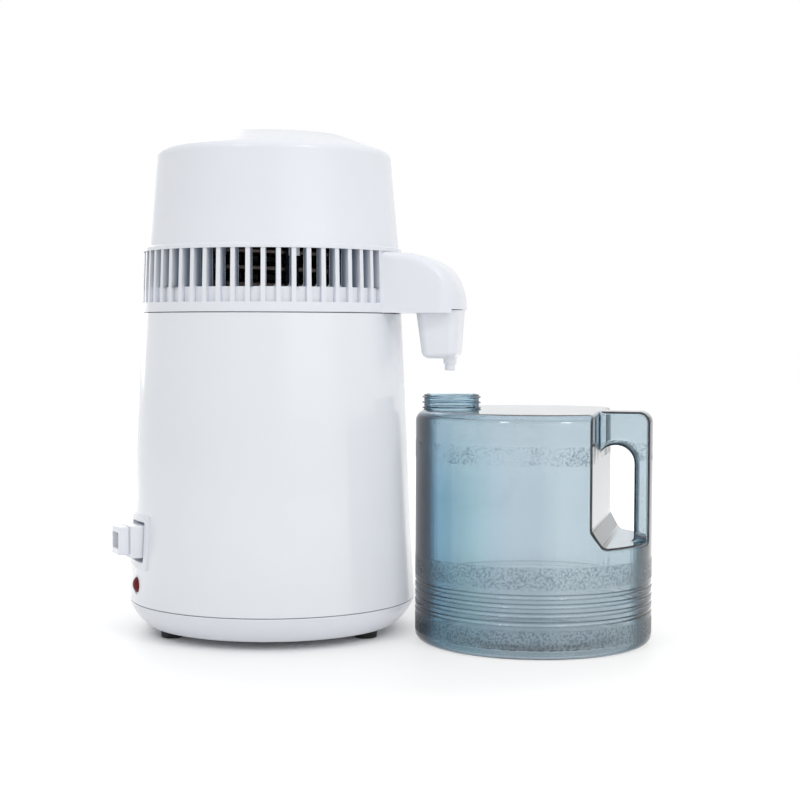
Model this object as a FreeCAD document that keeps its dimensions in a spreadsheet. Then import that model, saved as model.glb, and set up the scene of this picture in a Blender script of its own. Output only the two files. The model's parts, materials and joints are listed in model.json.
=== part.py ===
"""Countertop water distiller with its collecting jug, as a parametric assembly.

Millimetres, +Z up. The origin is on the floor, under the middle of the whole set. The distiller stands on
the -X side and the jug on the +X side, under the spout. Every piece of the distiller is drawn about the
distiller's own upright axis, every piece of the rear controls about +X as the outward direction, and the
jug about the jug's own axis. Each piece's Placement then carries it to its place.
"""

import FreeCAD, Part
import os
import re
from math import cos, radians, sin, tan

import Sketcher
from FreeCAD import Placement, Rotation, Vector

SIZES = {
    # where the two halves of the set stand
    "tower_place": -90,
    "jug_place": 113.7,
    "rear_angle": 218,
    "socket_angle": 180,
    # outer form of the distiller
    "body_radius": 110,
    "skirt_radius": 95.8,
    "skirt_bow": 45,
    "foot_height": 6,
    "seam_height": 25,
    "seam_gap": 0.6,
    "top_radius": 99.4,
    "top_height": 244.1,
    "shell_wall": 2,
    "tray_wall": 2.5,
    "tongue_radius": 107,
    "tongue_height": 5.6,
    # feet, base screws and vents
    "foot_circle": 84,
    "foot_angle": 223,
    "foot_radius": 9.5,
    "stem_radius": 2.9,
    "post_circle": 60,
    "post_radius": 5,
    "post_bore": 1.7,
    "screw_radius": 1.5,
    "screw_head": 3.3,
    "vent_start": 22,
    "vent_end": 48,
    "vent_half": 1.6,
    # boiling tank and what carries and heats it
    "tank_radius": 90,
    "tank_wall": 1,
    "tank_floor": 67.5,
    "tank_corner": 11,
    "rim_height": 239.6,
    "rim_radius": 94.4,
    "rim_bead": 1.7,
    "collar_bottom": 232,
    "collar_radius": 97.3,
    "cradle_height": 40,
    "cradle_gauge": 1.4,
    "heater_radius": 62,
    "heater_gauge": 4,
    "element_circle": 45.5,
    "element_radius": 4.2,
    "stud_circle": 28,
    "stud_radius": 2,
    "stud_end": 56,
    "clamp_gauge": 1.7,
    "nut_height": 3.4,
    "nut_radius": 4,
    "thermostat_radius": 8.5,
    # rear controls: inlet, reset button, fan socket
    "inlet_height": 73,
    "bezel_half": 19.5,
    "bezel_angle": 21.4,
    "bezel_proud": 1.4,
    "tub_half": 16.3,
    "tub_rise": 16.8,
    "tub_back": 91,
    "recess_half": 14.5,
    "recess_rise": 15,
    "block_half": 12.5,
    "block_rise": 12,
    "block_end": 117.2,
    "lip_half": 10,
    "lip_rise": 10.5,
    "lip_end": 125.5,
    "cavity_half": 7.6,
    "cavity_rise": 6,
    "cavity_floor": 107,
    "pin_radius": 1.3,
    "button_height": 40,
    "button_radius": 5.75,
    "button_edge": 109.8,
    "button_tip": 112.3,
    "button_bend": 7.9,
    "button_back": 103,
    "plunger_radius": 2,
    "plunger_end": 88,
    "cutout_back": 84,
    "cutout_face": 97,
    "cutout_half": 8,
    "guide_radius": 7.2,
    "guide_end": 109.1,
    "running_gap": 0.1,
    "spring_circle": 3.7,
    "spring_wire": 0.4,
    "spring_pitch": 1.45,
    "socket_height": 214,
    "socket_radius": 7.8,
    "socket_face": 103,
    "socket_back": 92.2,
    "socket_floor": 2.2,
    # head: band with the grille, dome and spout
    "head_bottom": 244.4,
    "head_radius": 99.8,
    "band_top": 291.8,
    "band_top_radius": 98.3,
    "band_inside": 88.6,
    "band_floor": 246,
    "floor_gauge": 2.4,
    "floor_hole": 58,
    "skirt_inside": 97.3,
    "slot_bottom": 251.6,
    "slot_depth_radius": 90.2,
    "slot_outer_half": 4.1,
    "slot_inner_half": 3.5,
    "sill_height": 262.5,
    "sill_round": 3.3,
    "window_half": 3.3,
    "slot_count": 50,
    "slot_span": 315,
    "first_slot": 22.5,
    "pillar_circle": 79.5,
    "pillar_angle": 57,
    "pillar_radius": 5,
    "bracket_height": 314,
    "bracket_gauge": 1.5,
    "gland_height": 248.7,
    "gland_angle": 150,
    "gland_radius": 1.9,
    "dome_rim": 99.3,
    "lip_drop": 1.6,
    "dome_foot": 98.2,
    "dome_foot_height": 293.4,
    "dome_side_top": 95.1,
    "dome_side_height": 357.5,
    "dome_shoulder": 9,
    "dome_edge": 86.5,
    "dome_edge_height": 368.2,
    "dome_flat": 47,
    "dome_slope_end": 56.5,
    "dome_slope_height": 378.8,
    "dome_crown_bend": 45,
    "dome_height": 380,
    "dome_wall": 2.2,
    # spout
    "root_place": 91,
    "root_half": 32,
    "root_top": 289.9,
    "root_edge": 4,
    "throat_place": 104,
    "throat_half": 30.9,
    "throat_top": 289.4,
    "throat_edge": 6,
    "back_place": 118,
    "back_half": 29.7,
    "back_top": 288,
    "back_edge": 7,
    "brow_place": 131,
    "brow_half": 28.6,
    "brow_top": 282.6,
    "brow_edge": 8,
    "cheek_place": 139,
    "cheek_half": 27.1,
    "cheek_top": 277,
    "cheek_edge": 10,
    "nose_place": 145,
    "nose_half": 23,
    "nose_top": 269.6,
    "nose_edge": 11,
    "chin_place": 149,
    "chin_half": 16.5,
    "chin_top": 260.5,
    "chin_edge": 9,
    "tip_place": 150.4,
    "tip_half": 10.5,
    "tip_top": 253,
    "tip_edge": 6,
    "spout_wall": 2.5,
    "rail_height": 245.5,
    "rail_gap_half": 19.4,
    "mouth_start": 113,
    "notch_start": 141,
    "notch_half": 23,
    "notch_height": 247.2,
    # filter cup
    "cup_top": 246.7,
    "cup_flange_bottom": 245.7,
    "cup_flange_half": 22,
    "cup_back": 115.7,
    "cup_front": 148.9,
    "cup_half": 18.9,
    "cup_corner": 8,
    "cup_low_back": 120.4,
    "cup_low_front": 146.5,
    "cup_low_half": 15.6,
    "cup_low_corner": 7,
    "cup_bottom": 210.2,
    "cup_bowl": 5,
    "cup_wall": 1.8,
    "nozzle_place": 139.6,
    "nozzle_radius": 3.9,
    "nozzle_bore": 2,
    "nozzle_tip": 201.1,
    "sachet_radius": 11.5,
    "sachet_half": 4.5,
    "sachet_height": 218,
    "sachet_place": 133,
    # steam path and condenser
    "steam_across": -34,
    "steam_aside": 14,
    "steam_radius": 5,
    "lid_top": 254.6,
    "coil_circle": 65.5,
    "coil_tube": 4.5,
    "coil_pitch": 13,
    "coil_bottom": 262,
    "coil_end_angle": 315,
    "fin_inside": 50,
    "fin_outside": 60.9,
    "fin_bottom": 257,
    "fin_top": 300.5,
    "fin_half": 0.4,
    "fin_count": 30,
    "drip_place": 132,
    "drip_radius": 4,
    "drip_end": 249.4,
    # fan and its motor
    "stack_bottom": 285,
    "stack_height": 18,
    "stack_half": 24,
    "stack_depth": 22,
    "bore_radius": 9,
    "motor_rotor_radius": 8.6,
    "shaft_radius": 2,
    "shaft_bottom": 277,
    "shaft_top": 337,
    "bolt_place": 19.5,
    "winding_half": 12.5,
    "hub_radius": 12,
    "hub_bottom": 322,
    "hub_top": 338,
    "blade_height": 330,
    "blade_root_half": 7,
    "blade_root_rise": 6,
    "blade_tip_half": 14,
    "blade_tip_rise": 7,
    "blade_gauge": 1.6,
    "blade_end": 60,
    "blade_count": 6,
    # jug
    "jug_radius": 88.5,
    "jug_height": 172.4,
    "jug_shoulder": 8.5,
    "jug_heel": 6.5,
    "jug_base": 66,
    "jug_push_up": 3,
    "jug_wall": 2,
    "ring_lowest": 25.9,
    "ring_pitch": 6.3,
    "ring_half": 1.7,
    "ring_bend": 1.9,
    "handle_wall": 51.3,
    "slab_half": 16,
    "pocket_floor": 77.4,
    "pocket_ramp": 59.3,
    "pocket_ramp_top": 90.5,
    "hole_end": 76,
    "hole_edge": 4,
    "arch_radius": 13.5,
    "arch_height": 134.1,
    "ramp_bend": 6,
    "slab_root": 5,
    "slab_foot": 3,
    "pocket_edge": 3,
    "neck_place": -62.7,
    "neck_radius": 20.9,
    "neck_height": 183.3,
    "thread_depth": 1.45,
    "thread_pitch": 4,
    "thread_half": 1,
    "thread_lowest": 173.2,
}

# where the spout's sections stand, from the band out to the tip
STATIONS = ("root", "throat", "back", "brow", "cheek", "nose", "chin", "tip")

# height of the coil's upper end: three turns and a last arc of 135 degrees above its lower end
COIL_TOP = "coil_bottom + coil_pitch * (3 + (1 + cos(45)) / 4)"

doc = FreeCAD.newDocument("Distiller")
kept = []


def make_sheet():
    """Fill the spreadsheet with one named cell for each driving size."""
    table = doc.addObject("Spreadsheet::Sheet", "Sizes")
    for row, (alias, size) in enumerate(SIZES.items(), start=1):
        table.set("A%d" % row, alias)
        table.set("B%d" % row, str(size))
        table.setAlias("B%d" % row, alias)
    doc.recompute()
    return table


def formula(text):
    """Write a formula of plain size names as an expression that reads the sheet."""
    return re.sub(r"[a-z][a-z_]*", lambda m: "Sizes." + m[0] if m[0] in SIZES else m[0], text)


def value(text):
    """What a formula comes to with the sheet's present numbers."""
    return float(sheet.evalExpression(formula(text)))


def bind(item, prop, text):
    """Tie a property to the sheet with an expression, unless the formula is a plain number."""
    if re.search("[a-z]", text):
        item.setExpression(prop, formula(text))


def new_body(label):
    """Start an empty body, which may hold several separate solids."""
    body = doc.addObject("PartDesign::Body", label)
    body.Label = label
    body.AllowCompound = True
    return body


def sketch_on(body, role, lift="0", up="0", turn="0"):
    """Start a sketch on one of the body's origin planes, turned about its own upright direction, lifted
    along its normal and with its origin raised."""
    sketch = body.newObject("Sketcher::SketchObject", body.Label + "_sketch")
    plane = next(f for f in body.Origin.OriginFeatures if f.Role == role)
    sketch.AttachmentSupport = [(plane, "")]
    sketch.MapMode = "FlatFace"
    out = (f"({lift}) * sin({turn})", up, f"({lift}) * cos({turn})")
    spin = Rotation(Vector(0, 1, 0), value(turn))
    sketch.AttachmentOffset = Placement(Vector(*(value(part) for part in out)), spin)
    for name, part in zip("xyz", out):
        bind(sketch, "AttachmentOffset.Base." + name, part)
    bind(sketch, "AttachmentOffset.Rotation.Angle", turn)
    return sketch


def pin(sketch, item, point, across, up):
    """Fix one point of a sketch to a place that the sheet gives."""
    for kind, text in (("DistanceX", across), ("DistanceY", up)):
        rule = Sketcher.Constraint(kind, -1, 1, item, point, value(text))
        bind(sketch, "Constraints[%d]" % sketch.addConstraint(rule), text)


def edge_between(start, end, bend):
    """A straight edge, or an arc that turns left for a positive bend radius and right for a negative one.
    Gives the edge and which of its own ends is its start and its end."""
    if bend is None:
        return Part.LineSegment(start, end), 1, 2
    chord = end - start
    aside = Vector(-chord.y, chord.x, 0).normalize()
    reach = (bend**2 - (chord.Length / 2) ** 2) ** 0.5
    centre = (start + end) * 0.5 + aside * (reach if bend > 0 else -reach)
    circle = Part.Circle(centre, Vector(0, 0, 1), abs(bend))
    first, last = (start, end) if bend > 0 else (end, start)
    arc = Part.ArcOfCircle(circle, circle.parameter(first), circle.parameter(last))
    return (arc, 1, 2) if bend > 0 else (arc, 2, 1)


def loop(sketch, points):
    """Draw a closed outline. A point is (across, up), or (across, up, bend) where the edge that arrives at
    it is an arc of that radius, turning left when the bend is positive."""
    spots = [Vector(value(p[0]), value(p[1]), 0) for p in points]
    edges = []
    for i, start in enumerate(spots):
        following = (i + 1) % len(spots)
        bend = points[following][2] if len(points[following]) > 2 else None
        shape, first, last = edge_between(start, spots[following], bend and value(bend))
        item = sketch.addGeometry(shape)
        edges.append((item, first, last))
        if bend:
            rule = Sketcher.Constraint("Radius", item, abs(value(bend)))
            bind(sketch, "Constraints[%d]" % sketch.addConstraint(rule), bend.lstrip("-"))
    for i, (item, first, last) in enumerate(edges):
        before, _, arrival = edges[i - 1]
        sketch.addConstraint(Sketcher.Constraint("Coincident", before, arrival, item, first))
        pin(sketch, item, first, points[i][0], points[i][1])
    return sketch


def ring(sketch, across, up, radius):
    """Draw a circle."""
    centre = Vector(value(across), value(up), 0)
    item = sketch.addGeometry(Part.Circle(centre, Vector(0, 0, 1), value(radius)))
    pin(sketch, item, 3, across, up)
    rule = Sketcher.Constraint("Radius", item, value(radius))
    bind(sketch, "Constraints[%d]" % sketch.addConstraint(rule), radius)
    return sketch


def rings_round(sketch, circle, angle, count, radius):
    """Draw equal circles evenly round the sketch's origin."""
    for i in range(count):
        place = "(%s + %g)" % (angle, 360 * i / count)
        ring(sketch, "%s * cos(%s)" % (circle, place), "%s * sin(%s)" % (circle, place), radius)
    return sketch


def box_outline(sketch, left, right, low, high):
    """Draw a rectangle."""
    return loop(sketch, [(left, low), (right, low), (right, high), (left, high)])


def rounded_outline(sketch, back, front, half, corner):
    """Draw a rectangle with round corners, from back to front and half a width to each side."""
    return loop(
        sketch,
        [
            (f"{back} + {corner}", f"-{half}", corner),
            (f"{front} - {corner}", f"-{half}"),
            (front, f"-{half} + {corner}", corner),
            (front, f"{half} - {corner}"),
            (f"{front} - {corner}", half, corner),
            (f"{back} + {corner}", half),
            (back, f"{half} - {corner}", corner),
            (back, f"-{half} + {corner}"),
        ],
    )


def feature(body, kind, sketch, length=None, **settings):
    """Add a pad, pocket, revolution or groove that reads one sketch."""
    item = body.newObject("PartDesign::" + kind, body.Label + "_" + kind.lower())
    item.Profile = sketch
    if length is not None:
        item.Length = value(length)
        bind(item, "Length", length)
    for name, setting in settings.items():
        setattr(item, name, setting)
    return item


def turn(body, points, axis="V_Axis", plane="XZ_Plane", up="0"):
    """Turn a half outline into a solid about the sketch's upright or level axis."""
    sketch = loop(sketch_on(body, plane, up=up), points)
    return feature(body, "Revolution", sketch, ReferenceAxis=(sketch, [axis]), Angle=360)


def near(first, second):
    """Whether two sizes agree within a twentieth of a millimetre."""
    return abs(first - second) < 0.05


def round_off(body, name, radius, picked):
    """Round the edges of a body's last feature whose middle point and bounding box pass a test."""
    doc.recompute()
    base = body.Tip
    names = []
    for i, edge in enumerate(base.Shape.Edges, start=1):
        middle = edge.valueAt((edge.FirstParameter + edge.LastParameter) / 2)
        if picked(middle, edge.BoundBox):
            names.append("Edge%d" % i)
    item = body.newObject("PartDesign::Fillet", body.Label + "_" + name)
    item.Base = (base, names)
    item.Radius = value(radius)
    bind(item, "Radius", radius)
    return item


def repeat_round(body, features, count, span="360"):
    """Repeat features round the body's upright axis."""
    pattern = body.newObject("PartDesign::PolarPattern", body.Label + "_pattern")
    upright = next(f for f in body.Origin.OriginFeatures if f.Role == "Z_Axis")
    pattern.Axis = (upright, [""])
    pattern.Originals = features
    pattern.Angle = value(span)
    bind(pattern, "Angle", span)
    pattern.Occurrences = int(value(count))
    bind(pattern, "Occurrences", count)
    body.Tip = pattern
    return pattern


def keep(item, label, place="tower_place", angle=None):
    """Name a finished piece, carry it to its place and put it on the list of pieces."""
    item.Label = label
    item.Placement = Placement(Vector(value(place), 0, 0), Rotation(Vector(0, 0, 1), value(angle or "0")))
    bind(item, "Placement.Base.x", place)
    if angle:
        bind(item, "Placement.Rotation.Angle", angle)
    kept.append(item)
    return item


def boolean(kind, label, base, tool):
    """Join or cut two objects."""
    item = doc.addObject("Part::" + kind, label)
    item.Base = base
    item.Tool = tool
    return item


# ---------------------------------------------------------------- standing body


def base_tray():
    """Moulded bottom: a dished skirt, a tongue inside the shell, four screw posts and floor vents."""
    body = new_body("base_tray")
    inside = "foot_height + tray_wall"
    turn(
        body,
        [
            ("0", "foot_height"),
            ("skirt_radius", "foot_height"),
            ("body_radius", "seam_height", "skirt_bow"),
            ("tongue_radius", "seam_height"),
            ("tongue_radius", "seam_height + tongue_height"),
            ("tongue_radius - shell_wall", "seam_height + tongue_height"),
            ("tongue_radius - shell_wall", "seam_height - shell_wall"),
            ("skirt_radius - 1.6", inside, "-(skirt_bow - tray_wall)"),
            ("0", inside),
        ],
    )
    post = ring(sketch_on(body, "XY_Plane", "foot_height + 1"), "post_circle", "0", "post_radius")
    post = feature(body, "Pad", post, "cradle_height - foot_height - 1")
    bore = ring(sketch_on(body, "XY_Plane", "foot_height"), "post_circle", "0", "post_bore")
    bore = feature(body, "Pocket", bore, "cradle_height", Reversed=True)
    seat = ring(sketch_on(body, "XY_Plane", "foot_height"), "post_circle", "0", "screw_head + 0.3")
    seat = feature(body, "Pocket", seat, "2", Reversed=True)
    repeat_round(body, [post, bore, seat], "4")
    vent = sketch_on(body, "XY_Plane", "foot_height")
    vent = box_outline(vent, "vent_start", "vent_end", "-vent_half", "vent_half")
    vent = feature(body, "Pocket", vent, "tray_wall + 1", Reversed=True)
    repeat_round(body, [vent], "8")
    stems = sketch_on(body, "XY_Plane", "foot_height")
    rings_round(stems, "foot_circle", "foot_angle", 3, "stem_radius + running_gap")
    feature(body, "Pocket", stems, "tray_wall + 1", Reversed=True)
    return keep(body, "base_tray")


def rubber_feet():
    """Three feet whose stems push through the tray's floor."""
    body = new_body("rubber_feet")
    pads = rings_round(sketch_on(body, "XY_Plane"), "foot_circle", "foot_angle", 3, "foot_radius - 0.6")
    feature(body, "Pad", pads, "foot_height", TaperAngle=5.0)
    stems = sketch_on(body, "XY_Plane", "foot_height - 1")
    rings_round(stems, "foot_circle", "foot_angle", 3, "stem_radius")
    feature(body, "Pad", stems, "tray_wall + 2.5")
    return keep(body, "rubber_feet")


def base_screws():
    """Four screws that pull the cradle down onto the tray's posts."""
    body = new_body("base_screws")
    heads = rings_round(sketch_on(body, "XY_Plane", "foot_height + 0.2"), "post_circle", "0", 4, "screw_head")
    feature(body, "Pad", heads, "1.7")
    shanks = sketch_on(body, "XY_Plane", "foot_height + 1.5")
    rings_round(shanks, "post_circle", "0", 4, "screw_radius")
    feature(body, "Pad", shanks, "cradle_height + 2 - foot_height")
    return keep(body, "base_screws")


def outer_shell():
    """Tapered shell with the openings of the inlet, the reset button and the fan socket."""
    body = new_body("outer_shell")
    bottom = "seam_height + seam_gap"
    turn(
        body,
        [
            ("body_radius", bottom),
            ("top_radius", "top_height"),
            ("top_radius - shell_wall", "top_height"),
            ("body_radius - shell_wall", bottom),
        ],
    )
    inlet = sketch_on(body, "YZ_Plane", "tub_back", up="inlet_height")
    side, rise = "tub_half + 0.2", "tub_rise + 0.2"
    box_outline(inlet, f"-({side})", side, f"-({rise})", rise)
    feature(body, "Pocket", inlet, "30", Reversed=True)
    button = sketch_on(body, "YZ_Plane", "tub_back", up="button_height")
    ring(button, "0", "0", "guide_radius + running_gap")
    feature(body, "Pocket", button, "30", Reversed=True)
    socket = sketch_on(body, "YZ_Plane", "tub_back", turn="socket_angle - rear_angle")
    ring(socket, "0", "socket_height", "socket_radius + 0.2")
    feature(body, "Pocket", socket, "30", Reversed=True)
    return keep(body, "outer_shell", angle="rear_angle")


def boiling_tank():
    """Deep stainless tank with a round corner, a rolled rim and three studs under its floor."""
    body = new_body("boiling_tank")
    outside = "tank_radius + tank_wall"
    turn(
        body,
        [
            ("0", "tank_floor"),
            (f"{outside} - tank_corner", "tank_floor"),
            (outside, "tank_floor + tank_corner", "tank_corner"),
            (outside, "rim_height"),
            ("rim_radius", "rim_height"),
            ("rim_radius", "rim_height + 2 * rim_bead", "rim_bead + 0.02"),
            ("tank_radius + 2", "rim_height + 2 * rim_bead"),
            ("tank_radius", "rim_height + 2 * rim_bead - 2", "2.01"),
            ("tank_radius", "tank_floor + tank_corner"),
            (f"{outside} - tank_corner", "tank_floor + tank_wall", "-(tank_corner - tank_wall)"),
            ("0", "tank_floor + tank_wall"),
        ],
    )
    studs = rings_round(sketch_on(body, "XY_Plane", "stud_end"), "stud_circle", "30", 3, "stud_radius")
    feature(body, "Pad", studs, "tank_floor + tank_wall / 2 - stud_end")
    return keep(body, "boiling_tank")


def tank_collar():
    """Ring that centres the tank's rim in the top of the shell."""
    body = new_body("tank_collar")
    turn(
        body,
        [
            ("tank_radius + tank_wall + 0.3", "collar_bottom"),
            ("collar_radius", "collar_bottom"),
            ("collar_radius", "top_height - 0.3"),
            ("collar_radius - 0.9", "top_height - 0.3"),
            ("collar_radius - 0.9", "rim_height"),
            ("tank_radius + tank_wall + 0.3", "rim_height"),
        ],
    )
    return keep(body, "tank_collar")


def tank_cradle():
    """Pressed steel dish on the posts that carries the tank by its corner."""
    body = new_body("tank_cradle")
    high = "cradle_height + cradle_gauge"
    rim = "tank_radius + tank_wall - tank_corner"
    turn(
        body,
        [
            ("post_circle - 14", "cradle_height"),
            ("post_circle + 7", "cradle_height"),
            (f"{rim} + 1.5", "tank_floor"),
            (f"{rim} - 0.2", "tank_floor"),
            ("post_circle + 6.2", high),
            ("post_circle - 14", high),
        ],
    )
    holes = sketch_on(body, "XY_Plane", "cradle_height - 1")
    rings_round(holes, "post_circle", "0", 4, "post_bore")
    feature(body, "Pocket", holes, "cradle_gauge + 2", Reversed=True)
    return keep(body, "tank_cradle")


def heater_plate():
    """Aluminium disc under the tank, with the tubular element cast in and its two ends turned down."""
    body = new_body("heater_plate")
    low = "tank_floor - heater_gauge"
    turn(
        body,
        [
            ("0", low),
            ("element_circle - 4", low),
            ("element_circle + 4", low, "element_radius"),
            ("heater_radius", low),
            ("heater_radius", "tank_floor"),
            ("0", "tank_floor"),
        ],
    )
    ends = sketch_on(body, "XY_Plane", f"{low} - 16")
    for side in ("10", "-10"):
        ring(ends, f"element_circle * cos({side})", f"element_circle * sin({side})", "2.6")
    feature(body, "Pad", ends, "17")
    holes = sketch_on(body, "XY_Plane", f"{low} - 1")
    rings_round(holes, "stud_circle", "30", 3, "stud_radius + 0.3")
    feature(body, "Pocket", holes, "heater_gauge + 2", Reversed=True)
    return keep(body, "heater_plate")


def heater_clamp():
    """Steel washer plate that presses the heater against the tank."""
    body = new_body("heater_clamp")
    low = "tank_floor - heater_gauge - clamp_gauge"
    plate = ring(sketch_on(body, "XY_Plane", low), "0", "0", "stud_circle + 9")
    ring(plate, "0", "0", "thermostat_radius + 4")
    rings_round(plate, "stud_circle", "30", 3, "stud_radius + 0.3")
    feature(body, "Pad", plate, "clamp_gauge")
    return keep(body, "heater_clamp")


def heater_nuts():
    """Three hexagon nuts on the tank's studs."""
    body = new_body("heater_nuts")
    low = "tank_floor - heater_gauge - clamp_gauge - nut_height"
    flats = sketch_on(body, "XY_Plane", low)
    for turned in (30, 150, 270):
        middle = ("stud_circle * cos(%d)" % turned, "stud_circle * sin(%d)" % turned)
        hexagon = []
        for corner in range(0, 360, 60):
            across = "%s + nut_radius * cos(%d)" % (middle[0], corner)
            hexagon.append((across, "%s + nut_radius * sin(%d)" % (middle[1], corner)))
        loop(flats, hexagon)
        ring(flats, *middle, "stud_radius + 0.02")
    feature(body, "Pad", flats, "nut_height")
    return keep(body, "heater_nuts")


def control_thermostat():
    """Bimetal disc thermostat against the middle of the heater, with two tab terminals."""
    body = new_body("control_thermostat")
    high = "tank_floor - heater_gauge"
    turn(
        body,
        [
            ("0", f"{high} - 11"),
            ("thermostat_radius - 1", f"{high} - 11"),
            ("thermostat_radius - 1", f"{high} - 4"),
            ("thermostat_radius", f"{high} - 4"),
            ("thermostat_radius", high),
            ("0", high),
        ],
    )
    tabs = sketch_on(body, "XY_Plane", f"{high} - 18")
    for side in ("3.5", "-4.3"):
        box_outline(tabs, "-3", "3", side, f"{side} + 0.8")
    feature(body, "Pad", tabs, "8")
    return keep(body, "control_thermostat")


# ---------------------------------------------------------------- rear controls


def thermal_cutout():
    """Manual-reset cutout behind the button, bored for the button's plunger."""
    body = new_body("thermal_cutout")
    case = sketch_on(body, "YZ_Plane", "cutout_back", up="button_height")
    box_outline(case, "-cutout_half", "cutout_half", "-cutout_half", "cutout_half")
    ring(case, "0", "0", "plunger_radius + running_gap")
    feature(body, "Pad", case, "cutout_face - cutout_back")
    tabs = sketch_on(body, "YZ_Plane", "cutout_back - 7", up="button_height")
    for side in ("4", "-4.8"):
        box_outline(tabs, side, f"{side} + 0.8", "-3", "3")
    feature(body, "Pad", tabs, "8")
    return keep(body, "thermal_cutout", angle="rear_angle")


def reset_guide():
    """Flanged bush in the shell that the button slides in."""
    body = new_body("reset_guide")
    inside = "button_radius + running_gap"
    turn(
        body,
        [
            ("cutout_face", inside),
            ("guide_end", inside),
            ("guide_end", "guide_radius"),
            ("guide_end - 2.8", "guide_radius"),
            ("guide_end - 2.8", "guide_radius + 2"),
            ("guide_end - 4.6", "guide_radius + 2"),
            ("guide_end - 4.6", "guide_radius"),
            ("cutout_face", "guide_radius"),
        ],
        axis="H_Axis",
        up="button_height",
    )
    return keep(body, "reset_guide", angle="rear_angle")


def reset_button():
    """Domed button on its plunger."""
    body = new_body("reset_button")
    turn(
        body,
        [
            ("plunger_end", "0"),
            ("button_tip", "0"),
            ("button_edge", "button_radius", "button_bend"),
            ("button_back", "button_radius"),
            ("button_back", "plunger_radius"),
            ("plunger_end", "plunger_radius"),
        ],
        axis="H_Axis",
        up="button_height",
    )
    return keep(body, "reset_button", angle="rear_angle")


def reset_spring():
    """Coil spring between the cutout and the back of the button."""
    spring = doc.addObject("Part::Feature", "reset_spring")
    start = Vector(value("cutout_face + spring_wire + 0.05"), 0, value("button_height"))
    radius = Vector(0, 0, value("spring_circle"))
    spring.Shape = wound(start, radius, Vector(1, 0, 0), value("spring_pitch"), 7, 0, value("spring_wire"))
    return keep(spring, "reset_spring", angle="rear_angle")


def cone_radius(height):
    """Formula for the shell's outer radius at a height."""
    span = "(top_height - seam_height - seam_gap)"
    fall = "(body_radius - top_radius)"
    return f"(body_radius - {fall} * ({height} - seam_height - seam_gap) / {span})"


def inlet_bezel():
    """Frame that follows the shell round the inlet, with the recessed tub behind it."""
    body = new_body("inlet_bezel")
    low, high = "inlet_height - bezel_half", "inlet_height + bezel_half"
    frame = sketch_on(body, "XZ_Plane")
    loop(
        frame,
        [
            (cone_radius(f"({low})"), low),
            (cone_radius(f"({low})") + " + bezel_proud", f"{low} + 0.6"),
            (cone_radius(f"({high})") + " + bezel_proud", f"{high} - 0.6"),
            (cone_radius(f"({high})"), high),
        ],
    )
    frame = feature(body, "Revolution", frame, ReferenceAxis=(frame, ["V_Axis"]), Midplane=True)
    frame.Angle = value("bezel_angle")
    bind(frame, "Angle", "bezel_angle")
    tub = sketch_on(body, "YZ_Plane", "tub_back", up="inlet_height")
    box_outline(tub, "-tub_half", "tub_half", "-tub_rise", "tub_rise")
    feature(body, "Pad", tub, cone_radius("inlet_height") + " - tub_back - 0.6")
    hollow = sketch_on(body, "YZ_Plane", "tub_back + 2", up="inlet_height")
    box_outline(hollow, "-recess_half", "recess_half", "-recess_rise", "recess_rise")
    feature(body, "Pocket", hollow, "30", Reversed=True)
    return keep(body, "inlet_bezel", angle="rear_angle")


def inlet_shroud():
    """Stepped socket that stands out of the tub, open at its outer end round the pins."""
    body = new_body("inlet_shroud")
    block = sketch_on(body, "YZ_Plane", "tub_back + 2", up="inlet_height + 0.5")
    box_outline(block, "-block_half", "block_half", "-block_rise", "block_rise")
    feature(body, "Pad", block, "block_end - tub_back - 2")
    neck = sketch_on(body, "YZ_Plane", "block_end - 1", up="inlet_height + 1.5")
    box_outline(neck, "-(lip_half - 1)", "lip_half - 1", "-(lip_rise - 1)", "lip_rise - 1")
    feature(body, "Pad", neck, "2.5")
    lip = sketch_on(body, "YZ_Plane", "block_end + 0.8", up="inlet_height + 1.5")
    box_outline(lip, "-lip_half", "lip_half", "-lip_rise", "lip_rise")
    feature(body, "Pad", lip, "lip_end - block_end - 0.8")
    cavity = sketch_on(body, "YZ_Plane", "cavity_floor", up="inlet_height + 1.5")
    box_outline(cavity, "-cavity_half", "cavity_half", "-cavity_rise", "cavity_rise")
    feature(body, "Pocket", cavity, "30", Reversed=True)
    return keep(body, "inlet_shroud", angle="rear_angle")


def inlet_pins():
    """Three contact pins on the floor of the inlet's cavity."""
    body = new_body("inlet_pins")
    pins = sketch_on(body, "YZ_Plane", "cavity_floor", up="inlet_height + 1.5")
    for across, up in (("-4.6", "-1.4"), ("4.6", "-1.4"), ("0", "2.4")):
        ring(pins, across, up, "pin_radius")
    feature(body, "Pad", pins, "12")
    return keep(body, "inlet_pins", angle="rear_angle")


def fan_socket():
    """Round socket near the top of the shell's back, which feeds the fan in the head."""
    body = new_body("fan_socket")
    skin = cone_radius("(socket_height - 10)")
    turn(
        body,
        [
            ("socket_back", "0"),
            ("socket_back + socket_floor", "0"),
            ("socket_back + socket_floor", "socket_radius - 2.2"),
            ("socket_face", "socket_radius - 2.2"),
            ("socket_face", "socket_radius + 2.2"),
            (skin, "socket_radius + 2.2"),
            (skin, "socket_radius"),
            ("socket_back", "socket_radius"),
        ],
        axis="H_Axis",
        up="socket_height",
    )
    return keep(body, "fan_socket", angle="socket_angle")


def fan_socket_pins():
    """Two pins inside the fan socket."""
    body = new_body("fan_socket_pins")
    pins = sketch_on(body, "YZ_Plane", "socket_back + socket_floor", up="socket_height")
    for across in ("-2.6", "2.6"):
        ring(pins, across, "0", "1")
    feature(body, "Pad", pins, "4")
    return keep(body, "fan_socket_pins", angle="socket_angle")


# ---------------------------------------------------------------- head


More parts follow.
